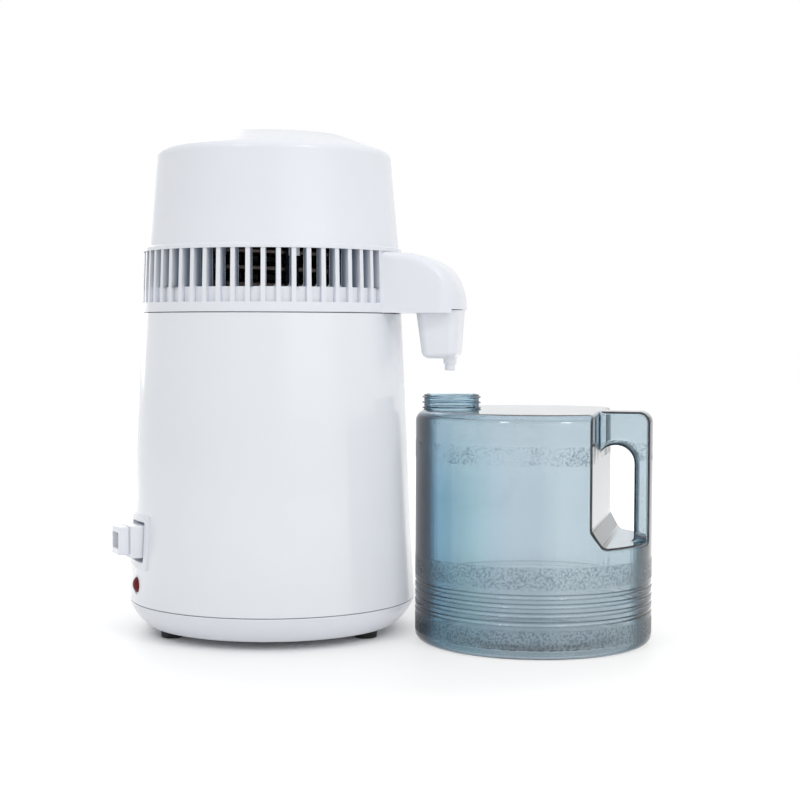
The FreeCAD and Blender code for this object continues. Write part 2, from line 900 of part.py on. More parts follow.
def grille_band():
    """Band of the head: floor ring, outer skin, fins with their sills, and three fan pillars."""
    body = new_body("grille_band")
    turn(
        body,
        [
            ("skirt_inside", "head_bottom"),
            ("head_radius", "head_bottom"),
            ("band_top_radius", "band_top"),
            ("band_inside", "band_top"),
            ("band_inside", "band_floor + floor_gauge"),
            ("floor_hole", "band_floor + floor_gauge"),
            ("floor_hole", "band_floor"),
            ("skirt_inside", "band_floor"),
        ],
    )
    slot = sketch_on(body, "XY_Plane", "slot_bottom")
    far = "head_radius + 3"
    cosine, sine = "cos(first_slot)", "sin(first_slot)"
    corners = (
        ("slot_depth_radius", "-slot_inner_half"),
        (far, "-slot_outer_half"),
        (far, "slot_outer_half"),
        ("slot_depth_radius", "slot_inner_half"),
    )
    turned = []
    for out, side in corners:
        across = f"({out}) * {cosine} - ({side}) * {sine}"
        turned.append((across, f"({out}) * {sine} + ({side}) * {cosine}"))
    loop(slot, turned)
    slot = feature(body, "Pocket", slot, "band_top - slot_bottom + 1", Reversed=True)
    window = sketch_on(body, "YZ_Plane", "band_inside - 2", turn="first_slot")
    loop(
        window,
        [
            ("-window_half", "sill_height"),
            ("window_half - sill_round", "sill_height"),
            ("window_half", "sill_height - sill_round", "-sill_round"),
            ("window_half", "band_top + 1"),
            ("-window_half", "band_top + 1"),
        ],
    )
    window = feature(body, "Pocket", window, "slot_depth_radius - band_inside + 2.5", Reversed=True)
    repeat_round(body, [slot, window], "slot_count", "slot_span")
    pillar = sketch_on(body, "XY_Plane", "band_floor + 1")
    rings_round(pillar, "pillar_circle", "pillar_angle", 3, "pillar_radius")
    feature(body, "Pad", pillar, "bracket_height - band_floor - 1")
    bores = sketch_on(body, "XY_Plane", "bracket_height - 14")
    rings_round(bores, "pillar_circle", "pillar_angle", 3, "screw_radius + 0.1")
    feature(body, "Pocket", bores, "16", Reversed=True)
    gland = sketch_on(body, "YZ_Plane", "band_inside - 4", turn="gland_angle")
    ring(gland, "0", "gland_height", "gland_radius + 0.1")
    feature(body, "Pocket", gland, "20", Reversed=True)
    return body


def spout_section(sketch, station, inset, low):
    """Section of the spout at a station: flat below, upright sides and a round-edged top."""
    half, top = f"({station}_half - {inset})", f"({station}_top - {inset})"
    bend = f"({station}_edge - 0.6 * {inset})"
    return loop(
        sketch,
        [
            (f"-{half}", low),
            (half, low),
            (half, f"{top} - {bend}"),
            (f"{half} - {bend}", top, bend),
            (f"-{half} + {bend}", top),
            (f"-{half}", f"{top} - {bend}", bend),
        ],
    )


def spout_form(label, inset, low, stations):
    """The spout lofted through its stations, or the form of its inside when inset is the wall."""
    body = new_body(label)
    sections = []
    for station in stations:
        sketch = sketch_on(body, "YZ_Plane", f"{station}_place - {inset}")
        sections.append(spout_section(sketch, station, inset, low))
    loft = body.newObject("PartDesign::AdditiveLoft", label + "_loft")
    loft.Profile = sections[0]
    loft.Sections = sections[1:]
    return body


def spout_outside():
    """Outer form of the spout, with the notch that lets the cup's flange out."""
    body = spout_form("spout_outside", "0", "head_bottom", STATIONS)
    notch = sketch_on(body, "XY_Plane", "head_bottom - 1")
    box_outline(notch, "notch_start", "tip_place + 5", "-notch_half", "notch_half")
    feature(body, "Pocket", notch, "notch_height - head_bottom + 1", Reversed=True)
    return body


def spout_inside():
    """Hollow of the spout, its mouth for the cup, the duct through the band and the seat of the gasket."""
    body = spout_form("spout_inside", "spout_wall", "rail_height", STATIONS[1:])
    mouth = sketch_on(body, "XY_Plane", "head_bottom - 5")
    box_outline(mouth, "mouth_start", "tip_place + 5", "-rail_gap_half", "rail_gap_half")
    feature(body, "Pad", mouth, "rail_height - head_bottom + 5.2")
    duct = sketch_on(body, "YZ_Plane", "band_inside - 6")
    box_outline(duct, "-16", "16", "slot_bottom", "root_top - 8")
    feature(body, "Pad", duct, "throat_place - band_inside + 5")
    seat = ring(sketch_on(body, "XY_Plane", "head_bottom - 5"), "0", "0", "skirt_inside")
    feature(body, "Pad", seat, "band_floor - head_bottom + 5")
    return body


def head_housing():
    """Band, grille and spout as one moulding."""
    joined = boolean("Fuse", "head_joined", grille_band(), spout_outside())
    housing = boolean("Cut", "head_housing", joined, spout_inside())
    return keep(housing, "head_housing")


def dome_cover():
    """Tapered cover with a rolled shoulder, a sloped crown and a flat top. Its lip hangs over the slots'
    tops, and three hooks reach into the band."""
    body = new_body("dome_cover")
    turn(
        body,
        [
            ("band_inside + 0.3", "band_top"),
            ("band_top_radius + 0.3", "band_top"),
            ("band_top_radius + 0.3", "band_top - lip_drop"),
            ("dome_rim", "band_top - lip_drop"),
            ("dome_rim", "dome_foot_height - 0.5"),
            ("dome_foot", "dome_foot_height"),
            ("dome_side_top", "dome_side_height"),
            ("dome_edge", "dome_edge_height", "dome_shoulder"),
            ("dome_slope_end", "dome_slope_height"),
            ("dome_flat", "dome_height", "dome_crown_bend"),
            ("0", "dome_height"),
            ("0", "dome_height - dome_wall"),
            ("dome_flat", "dome_height - dome_wall"),
            ("dome_slope_end - 0.6", "dome_slope_height - dome_wall", "-(dome_crown_bend - dome_wall)"),
            ("dome_edge - 0.8", "dome_edge_height - dome_wall"),
            ("dome_side_top - dome_wall", "dome_side_height", "-(dome_shoulder - 1.5)"),
            ("dome_foot - dome_wall", "band_top + dome_wall"),
            ("band_inside + 0.3", "band_top + dome_wall"),
        ],
    )
    hooks = sketch_on(body, "YZ_Plane", "band_inside - 1.8", turn="0")
    box_outline(hooks, "-4", "4", "band_top - 7", "band_top + dome_wall")
    hooks = feature(body, "Pad", hooks, "1.5")
    bridge = sketch_on(body, "YZ_Plane", "band_inside - 1.8")
    box_outline(bridge, "-4", "4", "band_top + 0.2", "band_top + dome_wall")
    bridge = feature(body, "Pad", bridge, "5")
    repeat_round(body, [hooks, bridge], "3")
    return keep(body, "dome_cover", angle="pillar_angle")


def tank_lid():
    """Dished stainless lid under the head's floor, pierced for the steam pipe."""
    body = new_body("tank_lid")
    low = "band_floor - 1.1"
    turn(
        body,
        [
            ("0", "lid_top"),
            ("floor_hole - 15", "lid_top"),
            ("floor_hole - 3", low),
            ("tank_radius - 1.7", low),
            ("tank_radius - 1.7", f"{low} + tank_wall"),
            ("floor_hole - 2.4", f"{low} + tank_wall"),
            ("floor_hole - 14.4", "lid_top + tank_wall"),
            ("0", "lid_top + tank_wall"),
        ],
    )
    hole = ring(sketch_on(body, "XY_Plane", "lid_top - 5"), "steam_across", "steam_aside", "steam_radius + 0.05")
    feature(body, "Pocket", hole, "10", Reversed=True)
    return keep(body, "tank_lid")


def lid_gasket():
    """Silicone ring that closes on the tank's rolled rim."""
    body = new_body("lid_gasket")
    turn(
        body,
        [
            ("tank_radius + 0.2", "band_floor"),
            ("tank_radius + 0.2", "band_floor - 1.2"),
            ("tank_radius + 2.2", "rim_height + 2 * rim_bead + 0.35"),
            ("rim_radius + 1.5", "rim_height + 2 * rim_bead + 0.35"),
            ("rim_radius + 1.5", "band_floor"),
        ],
    )
    return keep(body, "lid_gasket")


def piped(label, points, bend, radius, bore):
    """A tube whose middle follows straight runs joined by arcs that touch them."""
    spots = [Vector(*(value(number) for number in point)) for point in points]
    start, edges = spots[0], []
    for before, corner, after in zip(spots, spots[1:], spots[2:]):
        back, on = (before - corner).normalize(), (after - corner).normalize()
        half = back.getAngle(on) / 2
        first = corner + back * (value(bend) / tan(half))
        last = corner + on * (value(bend) / tan(half))
        towards = (back + on).normalize()
        middle = corner + towards * (value(bend) / sin(half) - value(bend))
        edges += [Part.LineSegment(start, first).toShape(), Part.Arc(first, middle, last).toShape()]
        start = last
    edges.append(Part.LineSegment(start, spots[-1]).toShape())
    path = Part.Wire(edges)
    heading = edges[0].tangentAt(edges[0].FirstParameter)
    tubes = []
    for size in (radius, bore):
        mouth = Part.Wire(Part.makeCircle(value(size), spots[0], heading))
        tubes.append(path.makePipeShell([mouth], True, False))
    item = doc.addObject("Part::Feature", label)
    item.Shape = tubes[0].cut(tubes[1])
    return keep(item, label)


def steam_riser():
    """Pipe from the lid up to the top of the coil."""
    points = [
        ("steam_across", "steam_aside", "lid_top"),
        ("steam_across", "steam_aside", COIL_TOP),
        ("-coil_circle", "steam_aside", COIL_TOP),
        ("-coil_circle", "0", COIL_TOP),
    ]
    return piped("steam_riser", points, "11", "steam_radius", "steam_radius - 1")


def wound(centre, out, along, pitch, halves, last, wire):
    """A coil that starts at the end of its radius, out, and runs along its axis: half turns, each a true
    arc in a tilted plane, so that they join smoothly, and a last arc of fewer degrees."""
    spot, edges = centre + out, []
    for i in range(halves + (1 if last else 0)):
        far = spot - out * 2 + along * (pitch / 2)
        middle = (spot + far) * 0.5
        across = spot - middle
        aside = out.cross(along).normalize() * across.Length
        sweep = radians(180 if i < halves else last)
        via = middle + across * cos(sweep / 2) + aside * sin(sweep / 2)
        end = middle + across * cos(sweep) + aside * sin(sweep)
        edges.append(Part.Arc(spot, via, end).toShape())
        spot, out = end, out * -1
    start = edges[0].tangentAt(edges[0].FirstParameter)
    section = Part.Wire(Part.makeCircle(wire, edges[0].Vertexes[0].Point, start))
    return Part.Wire(edges).makePipe(Part.Face(section))


def condenser_coil():
    """Stainless coil that the steam runs down, from the riser to the distillate pipe."""
    coil = doc.addObject("Part::Feature", "condenser_coil")
    top, radius = Vector(0, 0, value(COIL_TOP)), Vector(-value("coil_circle"), 0, 0)
    coil.Shape = wound(top, radius, Vector(0, 0, -1), value("coil_pitch"), 6, 135, value("coil_tube"))
    return keep(coil, "condenser_coil")


def condenser_fins():
    """Aluminium sleeve inside the coil with upright fins that touch the tube."""
    body = new_body("condenser_fins")
    sleeve = ring(sketch_on(body, "XY_Plane", "fin_bottom"), "0", "0", "fin_inside")
    ring(sleeve, "0", "0", "fin_inside - 1")
    feature(body, "Pad", sleeve, "fin_top - fin_bottom")
    fin = sketch_on(body, "XY_Plane", "fin_bottom")
    box_outline(fin, "fin_inside - 0.5", "fin_outside", "-fin_half", "fin_half")
    fin = feature(body, "Pad", fin, "fin_top - fin_bottom")
    repeat_round(body, [fin], "fin_count")
    return keep(body, "condenser_fins")


def distillate_pipe():
    """Pipe from the coil's lower end through the band to above the filter cup."""
    across = "coil_circle * cos(coil_end_angle)"
    points = [
        (across, "coil_circle * sin(coil_end_angle)", "coil_bottom"),
        (f"2 * {across}", "0", "coil_bottom"),
        ("drip_place", "0", "coil_bottom"),
        ("drip_place", "0", "drip_end"),
    ]
    return piped("distillate_pipe", points, "8", "drip_radius", "drip_radius - 0.8")


def fan_lead_gland():
    """Small grommet in the rear of the band for the fan's lead."""
    body = new_body("fan_lead_gland")
    turn(
        body,
        [
            ("band_inside - 3", "1.3"),
            ("head_radius + 1.6", "1.3"),
            ("head_radius + 1.6", "gland_radius + 1"),
            ("head_radius", "gland_radius + 1"),
            ("head_radius", "gland_radius"),
            ("band_inside - 3", "gland_radius"),
        ],
        axis="H_Axis",
        up="gland_height",
    )
    return keep(body, "fan_lead_gland", angle="gland_angle")


# ---------------------------------------------------------------- fan and motor


def fan_motor():
    """Laminated stack of a shaded-pole motor, with the rotor's bore and the winding's window."""
    body = new_body("fan_motor")
    stack = sketch_on(body, "XY_Plane", "stack_bottom")
    box_outline(stack, "-stack_half", "stack_half", "-stack_depth", "stack_depth")
    ring(stack, "0", "0", "bore_radius")
    box_outline(stack, "-winding_half - 1.5", "winding_half + 1.5", "bore_radius + 1.5", "stack_depth - 6")
    for side in ("-bolt_place", "bolt_place"):
        ring(stack, side, "0", "screw_radius + 0.1")
    feature(body, "Pad", stack, "stack_height")
    return keep(body, "fan_motor")


def motor_winding():
    """Copper winding on its bobbin round the long leg of the stack."""
    body = new_body("motor_winding")
    coil = sketch_on(body, "YZ_Plane", "-winding_half")
    low, high = "stack_bottom - 5", "stack_bottom + stack_height + 5"
    rounded = [
        ("stack_depth - 11", f"{low} + 3"),
        ("stack_depth - 8", low, "3"),
        ("stack_depth + 3", low),
        ("stack_depth + 6", f"{low} + 3", "3"),
        ("stack_depth + 6", f"{high} - 3"),
        ("stack_depth + 3", high, "3"),
        ("stack_depth - 8", high),
        ("stack_depth - 11", f"{high} - 3", "3"),
    ]
    loop(coil, rounded)
    leg_low, leg_high = "stack_bottom - 0.2", "stack_bottom + stack_height + 0.2"
    box_outline(coil, "stack_depth - 6.2", "stack_depth + 0.2", leg_low, leg_high)
    feature(body, "Pad", coil, "2 * winding_half")
    return keep(body, "motor_winding")


def bearing_bridges():
    """Two bridges, above and below the stack, that hold the shaft's bearings."""
    body = new_body("bearing_bridges")
    for low in ("stack_bottom - 3", "stack_bottom + stack_height"):
        plate = sketch_on(body, "XY_Plane", low)
        box_outline(plate, "-stack_half", "stack_half", "-6", "6")
        ring(plate, "0", "0", "shaft_radius + 0.06")
        for side in ("-bolt_place", "bolt_place"):
            ring(plate, side, "0", "screw_radius + 0.1")
        feature(body, "Pad", plate, "3")
    return keep(body, "bearing_bridges")


def motor_bracket():
    """Three-armed plate on the pillars, with two bosses that the motor hangs from."""
    body = new_body("motor_bracket")
    plate = ring(sketch_on(body, "XY_Plane", "bracket_height"), "0", "0", "stack_half + 3")
    ring(plate, "0", "0", "hub_radius")
    feature(body, "Pad", plate, "bracket_gauge")
    arm = sketch_on(body, "XY_Plane", "bracket_height")
    box_outline(arm, "stack_half + 1", "pillar_circle + pillar_radius", "-pillar_radius", "pillar_radius")
    arm = feature(body, "Pad", arm, "bracket_gauge")
    repeat_round(body, [arm], "3")
    bosses = sketch_on(body, "XY_Plane", "stack_bottom + stack_height + 3")
    places = []
    for reach in ("-bolt_place", "bolt_place"):
        places.append((f"{reach} * cos(pillar_angle)", f"-({reach}) * sin(pillar_angle)"))
    for place in places:
        ring(bosses, *place, "3.5")
    feature(body, "Pad", bosses, "bracket_height - stack_bottom - stack_height - 2")
    holes = sketch_on(body, "XY_Plane", "stack_bottom")
    for place in places:
        ring(holes, *place, "screw_radius + 0.1")
    rings_round(holes, "pillar_circle", "0", 3, "screw_radius + 0.2")
    feature(body, "Pocket", holes, "60", Reversed=True)
    return keep(body, "motor_bracket", angle="pillar_angle")


def screw_group(label, places, low, high, head, angle=None):
    """Screws with their heads on top: places are the formulas of each one's axis."""
    body = new_body(label)
    shanks = sketch_on(body, "XY_Plane", low)
    heads = sketch_on(body, "XY_Plane", high)
    for across, up in places:
        ring(shanks, across, up, "screw_radius")
        ring(heads, across, up, head)
    feature(body, "Pad", shanks, f"{high} - ({low})")
    feature(body, "Pad", heads, "1.8")
    return keep(body, label, angle=angle)


def bracket_screws():
    """Three screws through the bracket's arms into the pillars."""
    places = []
    for turned in (0, 120, 240):
        places.append((f"pillar_circle * cos({turned})", f"pillar_circle * sin({turned})"))
    low, high = "bracket_height - 10", "bracket_height + bracket_gauge"
    return screw_group("bracket_screws", places, low, high, "screw_head", "pillar_angle")


def motor_bolts():
    """Two bolts that hang the motor and its bridges from the bracket."""
    places = [("-bolt_place", "0"), ("bolt_place", "0")]
    low, high = "stack_bottom - 5", "bracket_height + bracket_gauge"
    return screw_group("motor_bolts", places, low, high, "screw_head - 0.4")


def motor_rotor():
    """Solid rotor that turns in the stack's bore."""
    body = new_body("motor_rotor")
    drum = ring(sketch_on(body, "XY_Plane", "stack_bottom + 0.5"), "0", "0", "motor_rotor_radius")
    ring(drum, "0", "0", "shaft_radius")
    feature(body, "Pad", drum, "stack_height - 1")
    return keep(body, "motor_rotor")


def fan_shaft():
    """Shaft through the motor up to the fan's hub."""
    body = new_body("fan_shaft")
    feature(
        body,
        "Pad",
        ring(sketch_on(body, "XY_Plane", "shaft_bottom"), "0", "0", "shaft_radius"),
        "shaft_top - shaft_bottom",
    )
    return keep(body, "fan_shaft")


def blade_outline(sketch, half, rise):
    """Section of a blade: a thin slanted strip, bowed upwards."""
    low, high = f"blade_height - {rise}", f"blade_height + {rise}"
    return loop(
        sketch,
        [
            (f"-{half}", low),
            (half, high, f"-2.6 * {half}"),
            (half, f"{high} + blade_gauge"),
            (f"-{half}", f"{low} + blade_gauge", f"2.6 * {half}"),
        ],
    )


def fan_rotor():
    """Axial fan: a hub with twisted, cambered blades."""
    body = new_body("fan_rotor")
    root = blade_outline(sketch_on(body, "YZ_Plane", "hub_radius - 3"), "blade_root_half", "blade_root_rise")
    tip = blade_outline(sketch_on(body, "YZ_Plane", "blade_end"), "blade_tip_half", "blade_tip_rise")
    blade = body.newObject("PartDesign::AdditiveLoft", "fan_blade")
    blade.Profile = root
    blade.Sections = [tip]
    blade.Ruled = True
    repeat_round(body, [blade], "blade_count")
    hub = ring(sketch_on(body, "XY_Plane", "hub_bottom"), "0", "0", "hub_radius")
    feature(body, "Pad", hub, "hub_top - hub_bottom")
    bore = ring(sketch_on(body, "XY_Plane", "hub_bottom"), "0", "0", "shaft_radius")
    feature(body, "Pocket", bore, "shaft_top - hub_bottom", Reversed=True)
    return keep(body, "fan_rotor")


# ---------------------------------------------------------------- filter cup


def cup_loft(body, kind, inset, low):
    """Tapered cup form between two round-cornered outlines, added or cut away."""
    top = sketch_on(body, "XY_Plane", "cup_top" if inset == "0" else "cup_top + 0.01")
    rounded_outline(
        top, f"(cup_back + {inset})", f"(cup_front - {inset})", f"(cup_half - {inset})", f"(cup_corner - {inset})"
    )
    bottom = sketch_on(body, "XY_Plane", low)
    rounded_outline(
        bottom,
        f"(cup_low_back + {inset})",
        f"(cup_low_front - {inset})",
        f"(cup_low_half - {inset})",
        f"(cup_low_corner - {inset})",
    )
    item = body.newObject("PartDesign::" + kind, body.Label + "_" + kind.lower())
    item.Profile = top
    item.Sections = [bottom]
    item.Ruled = True
    return item


def filter_cup():
    """Tapered cup that hangs by its side flanges from the spout's rails, with a bowl-shaped bottom."""
    body = new_body("filter_cup")
    cup_loft(body, "AdditiveLoft", "0", "cup_bottom")
    round_off(body, "bowl", "cup_bowl", lambda middle, box: near(box.ZMax, value("cup_bottom")))
    flange = sketch_on(body, "XY_Plane", "cup_flange_bottom")
    box_outline(flange, "cup_back + 1", "cup_front - 8", "-cup_flange_half", "cup_flange_half")
    feature(body, "Pad", flange, "cup_top - cup_flange_bottom")
    cup_loft(body, "SubtractiveLoft", "cup_wall", "cup_bottom + 2.2")
    neck = ring(sketch_on(body, "XY_Plane", "nozzle_tip + 5"), "nozzle_place", "0", "nozzle_radius + 1")
    feature(body, "Pad", neck, "cup_bottom + 2 - nozzle_tip - 5")
    bore = ring(sketch_on(body, "XY_Plane", "nozzle_tip"), "nozzle_place", "0", "nozzle_radius")
    feature(body, "Pocket", bore, "20", Reversed=True)
    return keep(body, "filter_cup")


def outlet_nozzle():
    """Flanged tube pressed into the bottom of the cup."""
    body = new_body("outlet_nozzle")
    tube = ring(sketch_on(body, "XY_Plane", "nozzle_tip"), "nozzle_place", "0", "nozzle_radius")
    feature(body, "Pad", tube, "cup_bottom + 3 - nozzle_tip")
    bore = ring(sketch_on(body, "XY_Plane", "nozzle_tip"), "nozzle_place", "0", "nozzle_bore")
    feature(body, "Pocket", bore, "30", Reversed=True)
    return keep(body, "outlet_nozzle")


def carbon_sachet():
    """Cushion-shaped bag of activated carbon that lies in the cup."""
    bag = doc.addObject("Part::Ellipsoid", "carbon_sachet")
    bag.Radius1 = value("sachet_half")
    bag.Radius2 = value("sachet_radius")
    bag.Radius3 = value("sachet_radius")
    bind(bag, "Radius1", "sachet_half")
    bind(bag, "Radius2", "sachet_radius")
    bind(bag, "Radius3", "sachet_radius")
    bag.Label = "carbon_sachet"
    bag.Placement = Placement(Vector(value("tower_place + sachet_place"), 0, value("sachet_height")), Rotation())
    bind(bag, "Placement.Base.x", "tower_place + sachet_place")
    bind(bag, "Placement.Base.z", "sachet_height")
    kept.append(bag)
    return bag


# ---------------------------------------------------------------- jug


def jug_rings(inset):
    """The four grooves round the jug, from the lowest up, as points of its half outline."""
    points = []
    radius = f"jug_radius - {inset}"
    for i in range(4):
        middle = f"(ring_lowest + {i} * ring_pitch)"
        points.append((radius, f"{middle} - ring_half"))
        points.append((radius, f"{middle} + ring_half", "-ring_bend"))
    return points


def jug_form(label, inset):
    """The jug's outer form, or the form of its inside when inset is the wall: a barrel with a dished
    base, round shoulder, grooves, the two pockets beside the handle and the hand hole."""
    body = new_body(label)
    side = f"jug_radius - {inset}"
    turn(
        body,
        [
            ("0", f"jug_push_up + {inset}"),
            (f"jug_base - 6 - {inset}", f"jug_push_up + {inset}"),
            ("jug_base", inset),
            ("jug_radius - jug_heel", inset),
            (side, "jug_heel", f"(jug_heel - {inset})"),
            *jug_rings(inset),
            (side, "jug_height - jug_shoulder"),
            ("jug_radius - jug_shoulder", f"jug_height - {inset}", f"(jug_shoulder - {inset})"),
            ("0", f"jug_height - {inset}"),
        ],
    )
    wall = f"handle_wall - {inset}"
    far = "jug_radius + 10"
    side_face = f"slab_half - {inset}"
    for lift, forwards in ((f"-({side_face})", False), (side_face, True)):
        pocket = sketch_on(body, "XZ_Plane", lift)
        loop(
            pocket,
            [
                (wall, f"pocket_ramp_top - {inset} / 2"),
                (f"pocket_ramp - {inset} / 2", f"pocket_floor - {inset}"),
                (far, f"pocket_floor - {inset}"),
                (far, "jug_height + 10"),
                (wall, "jug_height + 10"),
            ],
        )
        feature(body, "Pocket", pocket, "100", Reversed=forwards)
    hole = sketch_on(body, "XZ_Plane", "-slab_half")
    low, end = f"pocket_floor - {inset}", f"hole_end + {inset}"
    bow = f"(arch_radius + {inset})"
    rise = f"sqrt({bow}^2 - (hole_end - arch_radius - handle_wall + {inset})^2)"
    loop(
        hole,
        [
            (wall, f"pocket_ramp_top - {inset} / 2"),
            (f"pocket_ramp - {inset} / 2", low),
            (end, low),
            (end, "arch_height"),
            (wall, f"arch_height + {rise}", bow),
        ],
    )
    feature(body, "Pocket", hole, "2 * slab_half", Reversed=True)
    round_handle(body, inset)
    return body


def round_handle(body, inset):
    """Round the handle: its hand hole, the bends of the ramp, its root on the wall (where the blown wall
    is thicker), its foot on the floor and at last both pockets' outlines, where each edge runs on into
    the next."""
    wall, half = value(f"handle_wall - {inset}"), value(f"slab_half - {inset}")
    floor, end = value(f"pocket_floor - {inset}"), value(f"hole_end + {inset}")
    ramp, ramp_top = value(f"pocket_ramp - {inset} / 2"), value(f"pocket_ramp_top - {inset} / 2")
    side, arch = value(f"jug_radius - {inset}"), value("arch_height")
    top = value(f"arch_height + arch_radius + {inset}")

    def at_hole(middle, box):
        upright = near(middle.x, end) or middle.z > arch
        within = middle.x > wall + 0.1 and box.ZMax < top + 0.1 and box.XMax < end + 0.1
        return within and upright and near(abs(middle.y), half) and near(box.YMin, box.YMax)

    def at_ramp(middle, box):
        foot = near(middle.z, floor) and near(middle.x, ramp)
        return near(box.ZMin, box.ZMax) and (foot or near(middle.z, ramp_top) and near(middle.x, wall))

    def at_root(middle, box):
        return near(middle.x, wall) and near(abs(middle.y), half) and box.ZMin > ramp_top

    def on_floor(middle, box):
        return near(middle.z, floor) and near(box.ZMin, box.ZMax)

    def at_foot(middle, box):
        beside = end - 5 < middle.x < side and abs(middle.y) < half + 0.1
        return on_floor(middle, box) and beside

    def at_brim(middle, box):
        return on_floor(middle, box) and box.XMax > side - 3 and abs(middle.y) > half

    round_off(body, "hole_edges", f"hole_edge - {inset}", at_hole)
    round_off(body, "ramp_bends", f"ramp_bend + {inset}", at_ramp)
    round_off(body, "slab_roots", f"slab_root - {inset}", at_root)
    round_off(body, "slab_foot", f"slab_foot + {inset}", at_foot)
    round_off(body, "pocket_edges", f"pocket_edge - {inset}", at_brim)


def neck_outline(inset):
    """Half outline of the threaded neck about its own axis."""
    points = [("0", "jug_height - 6"), (f"neck_radius - {inset}", "jug_height - 6")]
    if inset == "0":
        for i in range(3):
            middle = f"(thread_lowest + {i} * thread_pitch)"
            points.append(("neck_radius", f"{middle} - thread_half"))
            points.append(("neck_radius + thread_depth", f"{middle} - thread_half / 3"))
            points.append(("neck_radius + thread_depth", f"{middle} + thread_half / 3"))
            points.append(("neck_radius", f"{middle} + thread_half"))
    high = "neck_height" if inset == "0" else "neck_height + 2"
    return points + [(f"neck_radius - {inset}", high), ("0", high)]


def neck_form(label, inset):
    """The neck's outer form with its thread ridges, or its bore."""
    neck = new_body(label)
    turn(neck, neck_outline(inset))
    neck.Placement.Base.x = value("neck_place")
    bind(neck, "Placement.Base.x", "neck_place")
    return neck


def jug():
    """Blown jug: an even wall round a barrel with a cut-in hollow handle and a threaded neck."""
    outside = boolean("Fuse", "jug_outside", jug_form("jug_barrel", "0"), neck_form("jug_neck", "0"))
    inside = boolean("Fuse", "jug_inside", jug_form("jug_hollow", "jug_wall"), neck_form("jug_bore", "jug_wall"))
    return keep(boolean("Cut", "jug", outside, inside), "jug", place="jug_place")


def check(items):
    """Stop if any object failed or any piece has no valid shape."""
    faults = [item.Label for item in doc.Objects if {"Invalid", "Error"} & set(item.State)]
    for item in items:
        if item.Shape.isNull() or not item.Shape.isValid() or not item.Shape.Solids:
            faults.append(item.Label + " shape")
    if faults:
        raise RuntimeError("failed: " + ", ".join(faults))


sheet = make_sheet()
PIECES = (
    base_tray,
    rubber_feet,
    base_screws,
    outer_shell,
    boiling_tank,
    tank_collar,
    tank_cradle,
    heater_plate,
    heater_clamp,
    heater_nuts,
    control_thermostat,
    thermal_cutout,
    reset_guide,
    reset_button,
    reset_spring,
    inlet_bezel,
    inlet_shroud,
    inlet_pins,
    fan_socket,
    fan_socket_pins,
    head_housing,
    dome_cover,
    tank_lid,
    lid_gasket,
    steam_riser,
    condenser_coil,
    condenser_fins,
    distillate_pipe,
    fan_lead_gland,
    fan_motor,
    motor_winding,
    bearing_bridges,
    motor_bracket,
    bracket_screws,
    motor_bolts,
    motor_rotor,
    fan_shaft,
    fan_rotor,
    filter_cup,
    outlet_nozzle,
    carbon_sachet,
    jug,
)
for piece in PIECES:
    piece()
doc.recompute()
check(kept)
os.makedirs("parts", exist_ok=True)
for item in kept:
    item.Shape.exportStep("parts/%s.step" % item.Label)
    print("%-18s solids %d  volume %.1f" % (item.Label, len(item.Shape.Solids), item.Shape.Volume))
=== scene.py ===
"""The looks of a countertop water distiller and its jug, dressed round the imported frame.

Every sub-assembly is a class whose fields are its sizes in millimetres. Round pieces are drawn about their own
axis and then carried to their place in metres, so each finished object sits at the origin with its place in its
mesh. The distiller's axis is read from the frame, and the jug keeps the place of its node.
"""

from __future__ import annotations

import json
import logging
import math
from dataclasses import dataclass, field
from enum import Enum

import bmesh
import bpy
from mathutils import Matrix, Quaternion, Vector
from mathutils.geometry import interpolate_bezier

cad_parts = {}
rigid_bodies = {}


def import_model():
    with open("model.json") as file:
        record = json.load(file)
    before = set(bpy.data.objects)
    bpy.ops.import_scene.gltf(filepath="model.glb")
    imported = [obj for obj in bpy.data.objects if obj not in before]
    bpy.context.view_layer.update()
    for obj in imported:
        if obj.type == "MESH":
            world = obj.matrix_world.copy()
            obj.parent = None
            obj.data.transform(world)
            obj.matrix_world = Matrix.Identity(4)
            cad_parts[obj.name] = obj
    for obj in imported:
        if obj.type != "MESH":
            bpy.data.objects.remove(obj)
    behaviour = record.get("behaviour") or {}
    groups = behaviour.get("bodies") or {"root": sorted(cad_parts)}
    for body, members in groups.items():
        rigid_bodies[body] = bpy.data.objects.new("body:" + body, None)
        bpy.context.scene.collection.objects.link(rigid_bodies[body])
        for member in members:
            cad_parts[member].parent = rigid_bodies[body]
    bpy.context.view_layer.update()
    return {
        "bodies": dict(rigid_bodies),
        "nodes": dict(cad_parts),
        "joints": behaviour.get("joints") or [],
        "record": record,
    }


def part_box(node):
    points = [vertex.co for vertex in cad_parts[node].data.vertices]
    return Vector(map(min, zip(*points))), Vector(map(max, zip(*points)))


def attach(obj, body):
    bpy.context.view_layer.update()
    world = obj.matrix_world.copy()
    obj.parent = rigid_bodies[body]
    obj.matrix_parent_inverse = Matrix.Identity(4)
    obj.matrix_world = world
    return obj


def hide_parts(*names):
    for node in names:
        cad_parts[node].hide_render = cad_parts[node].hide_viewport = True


log = logging.getLogger("distiller")

MM = 0.001
WHITE = (1.0, 1.0, 1.0, 1.0)
# the white plastic's colours, gloss, relief and index, in the order of Finish's fields
WHITE_ABS = ("#EAEDF3", "#E6E9F0", 0.2, 0.05, 3.5, 0.004, 1.53)
# the part of a noise's range within which patches come and go
PATCHES = (0.3, 0.7)
Colour = tuple[float, float, float, float]
Edge = bmesh.types.BMEdge
Mesh = bmesh.types.BMesh
Node = bpy.types.Node
Piece = bpy.types.Object
Socket = bpy.types.NodeSocket
Tree = bpy.types.ShaderNodeTree


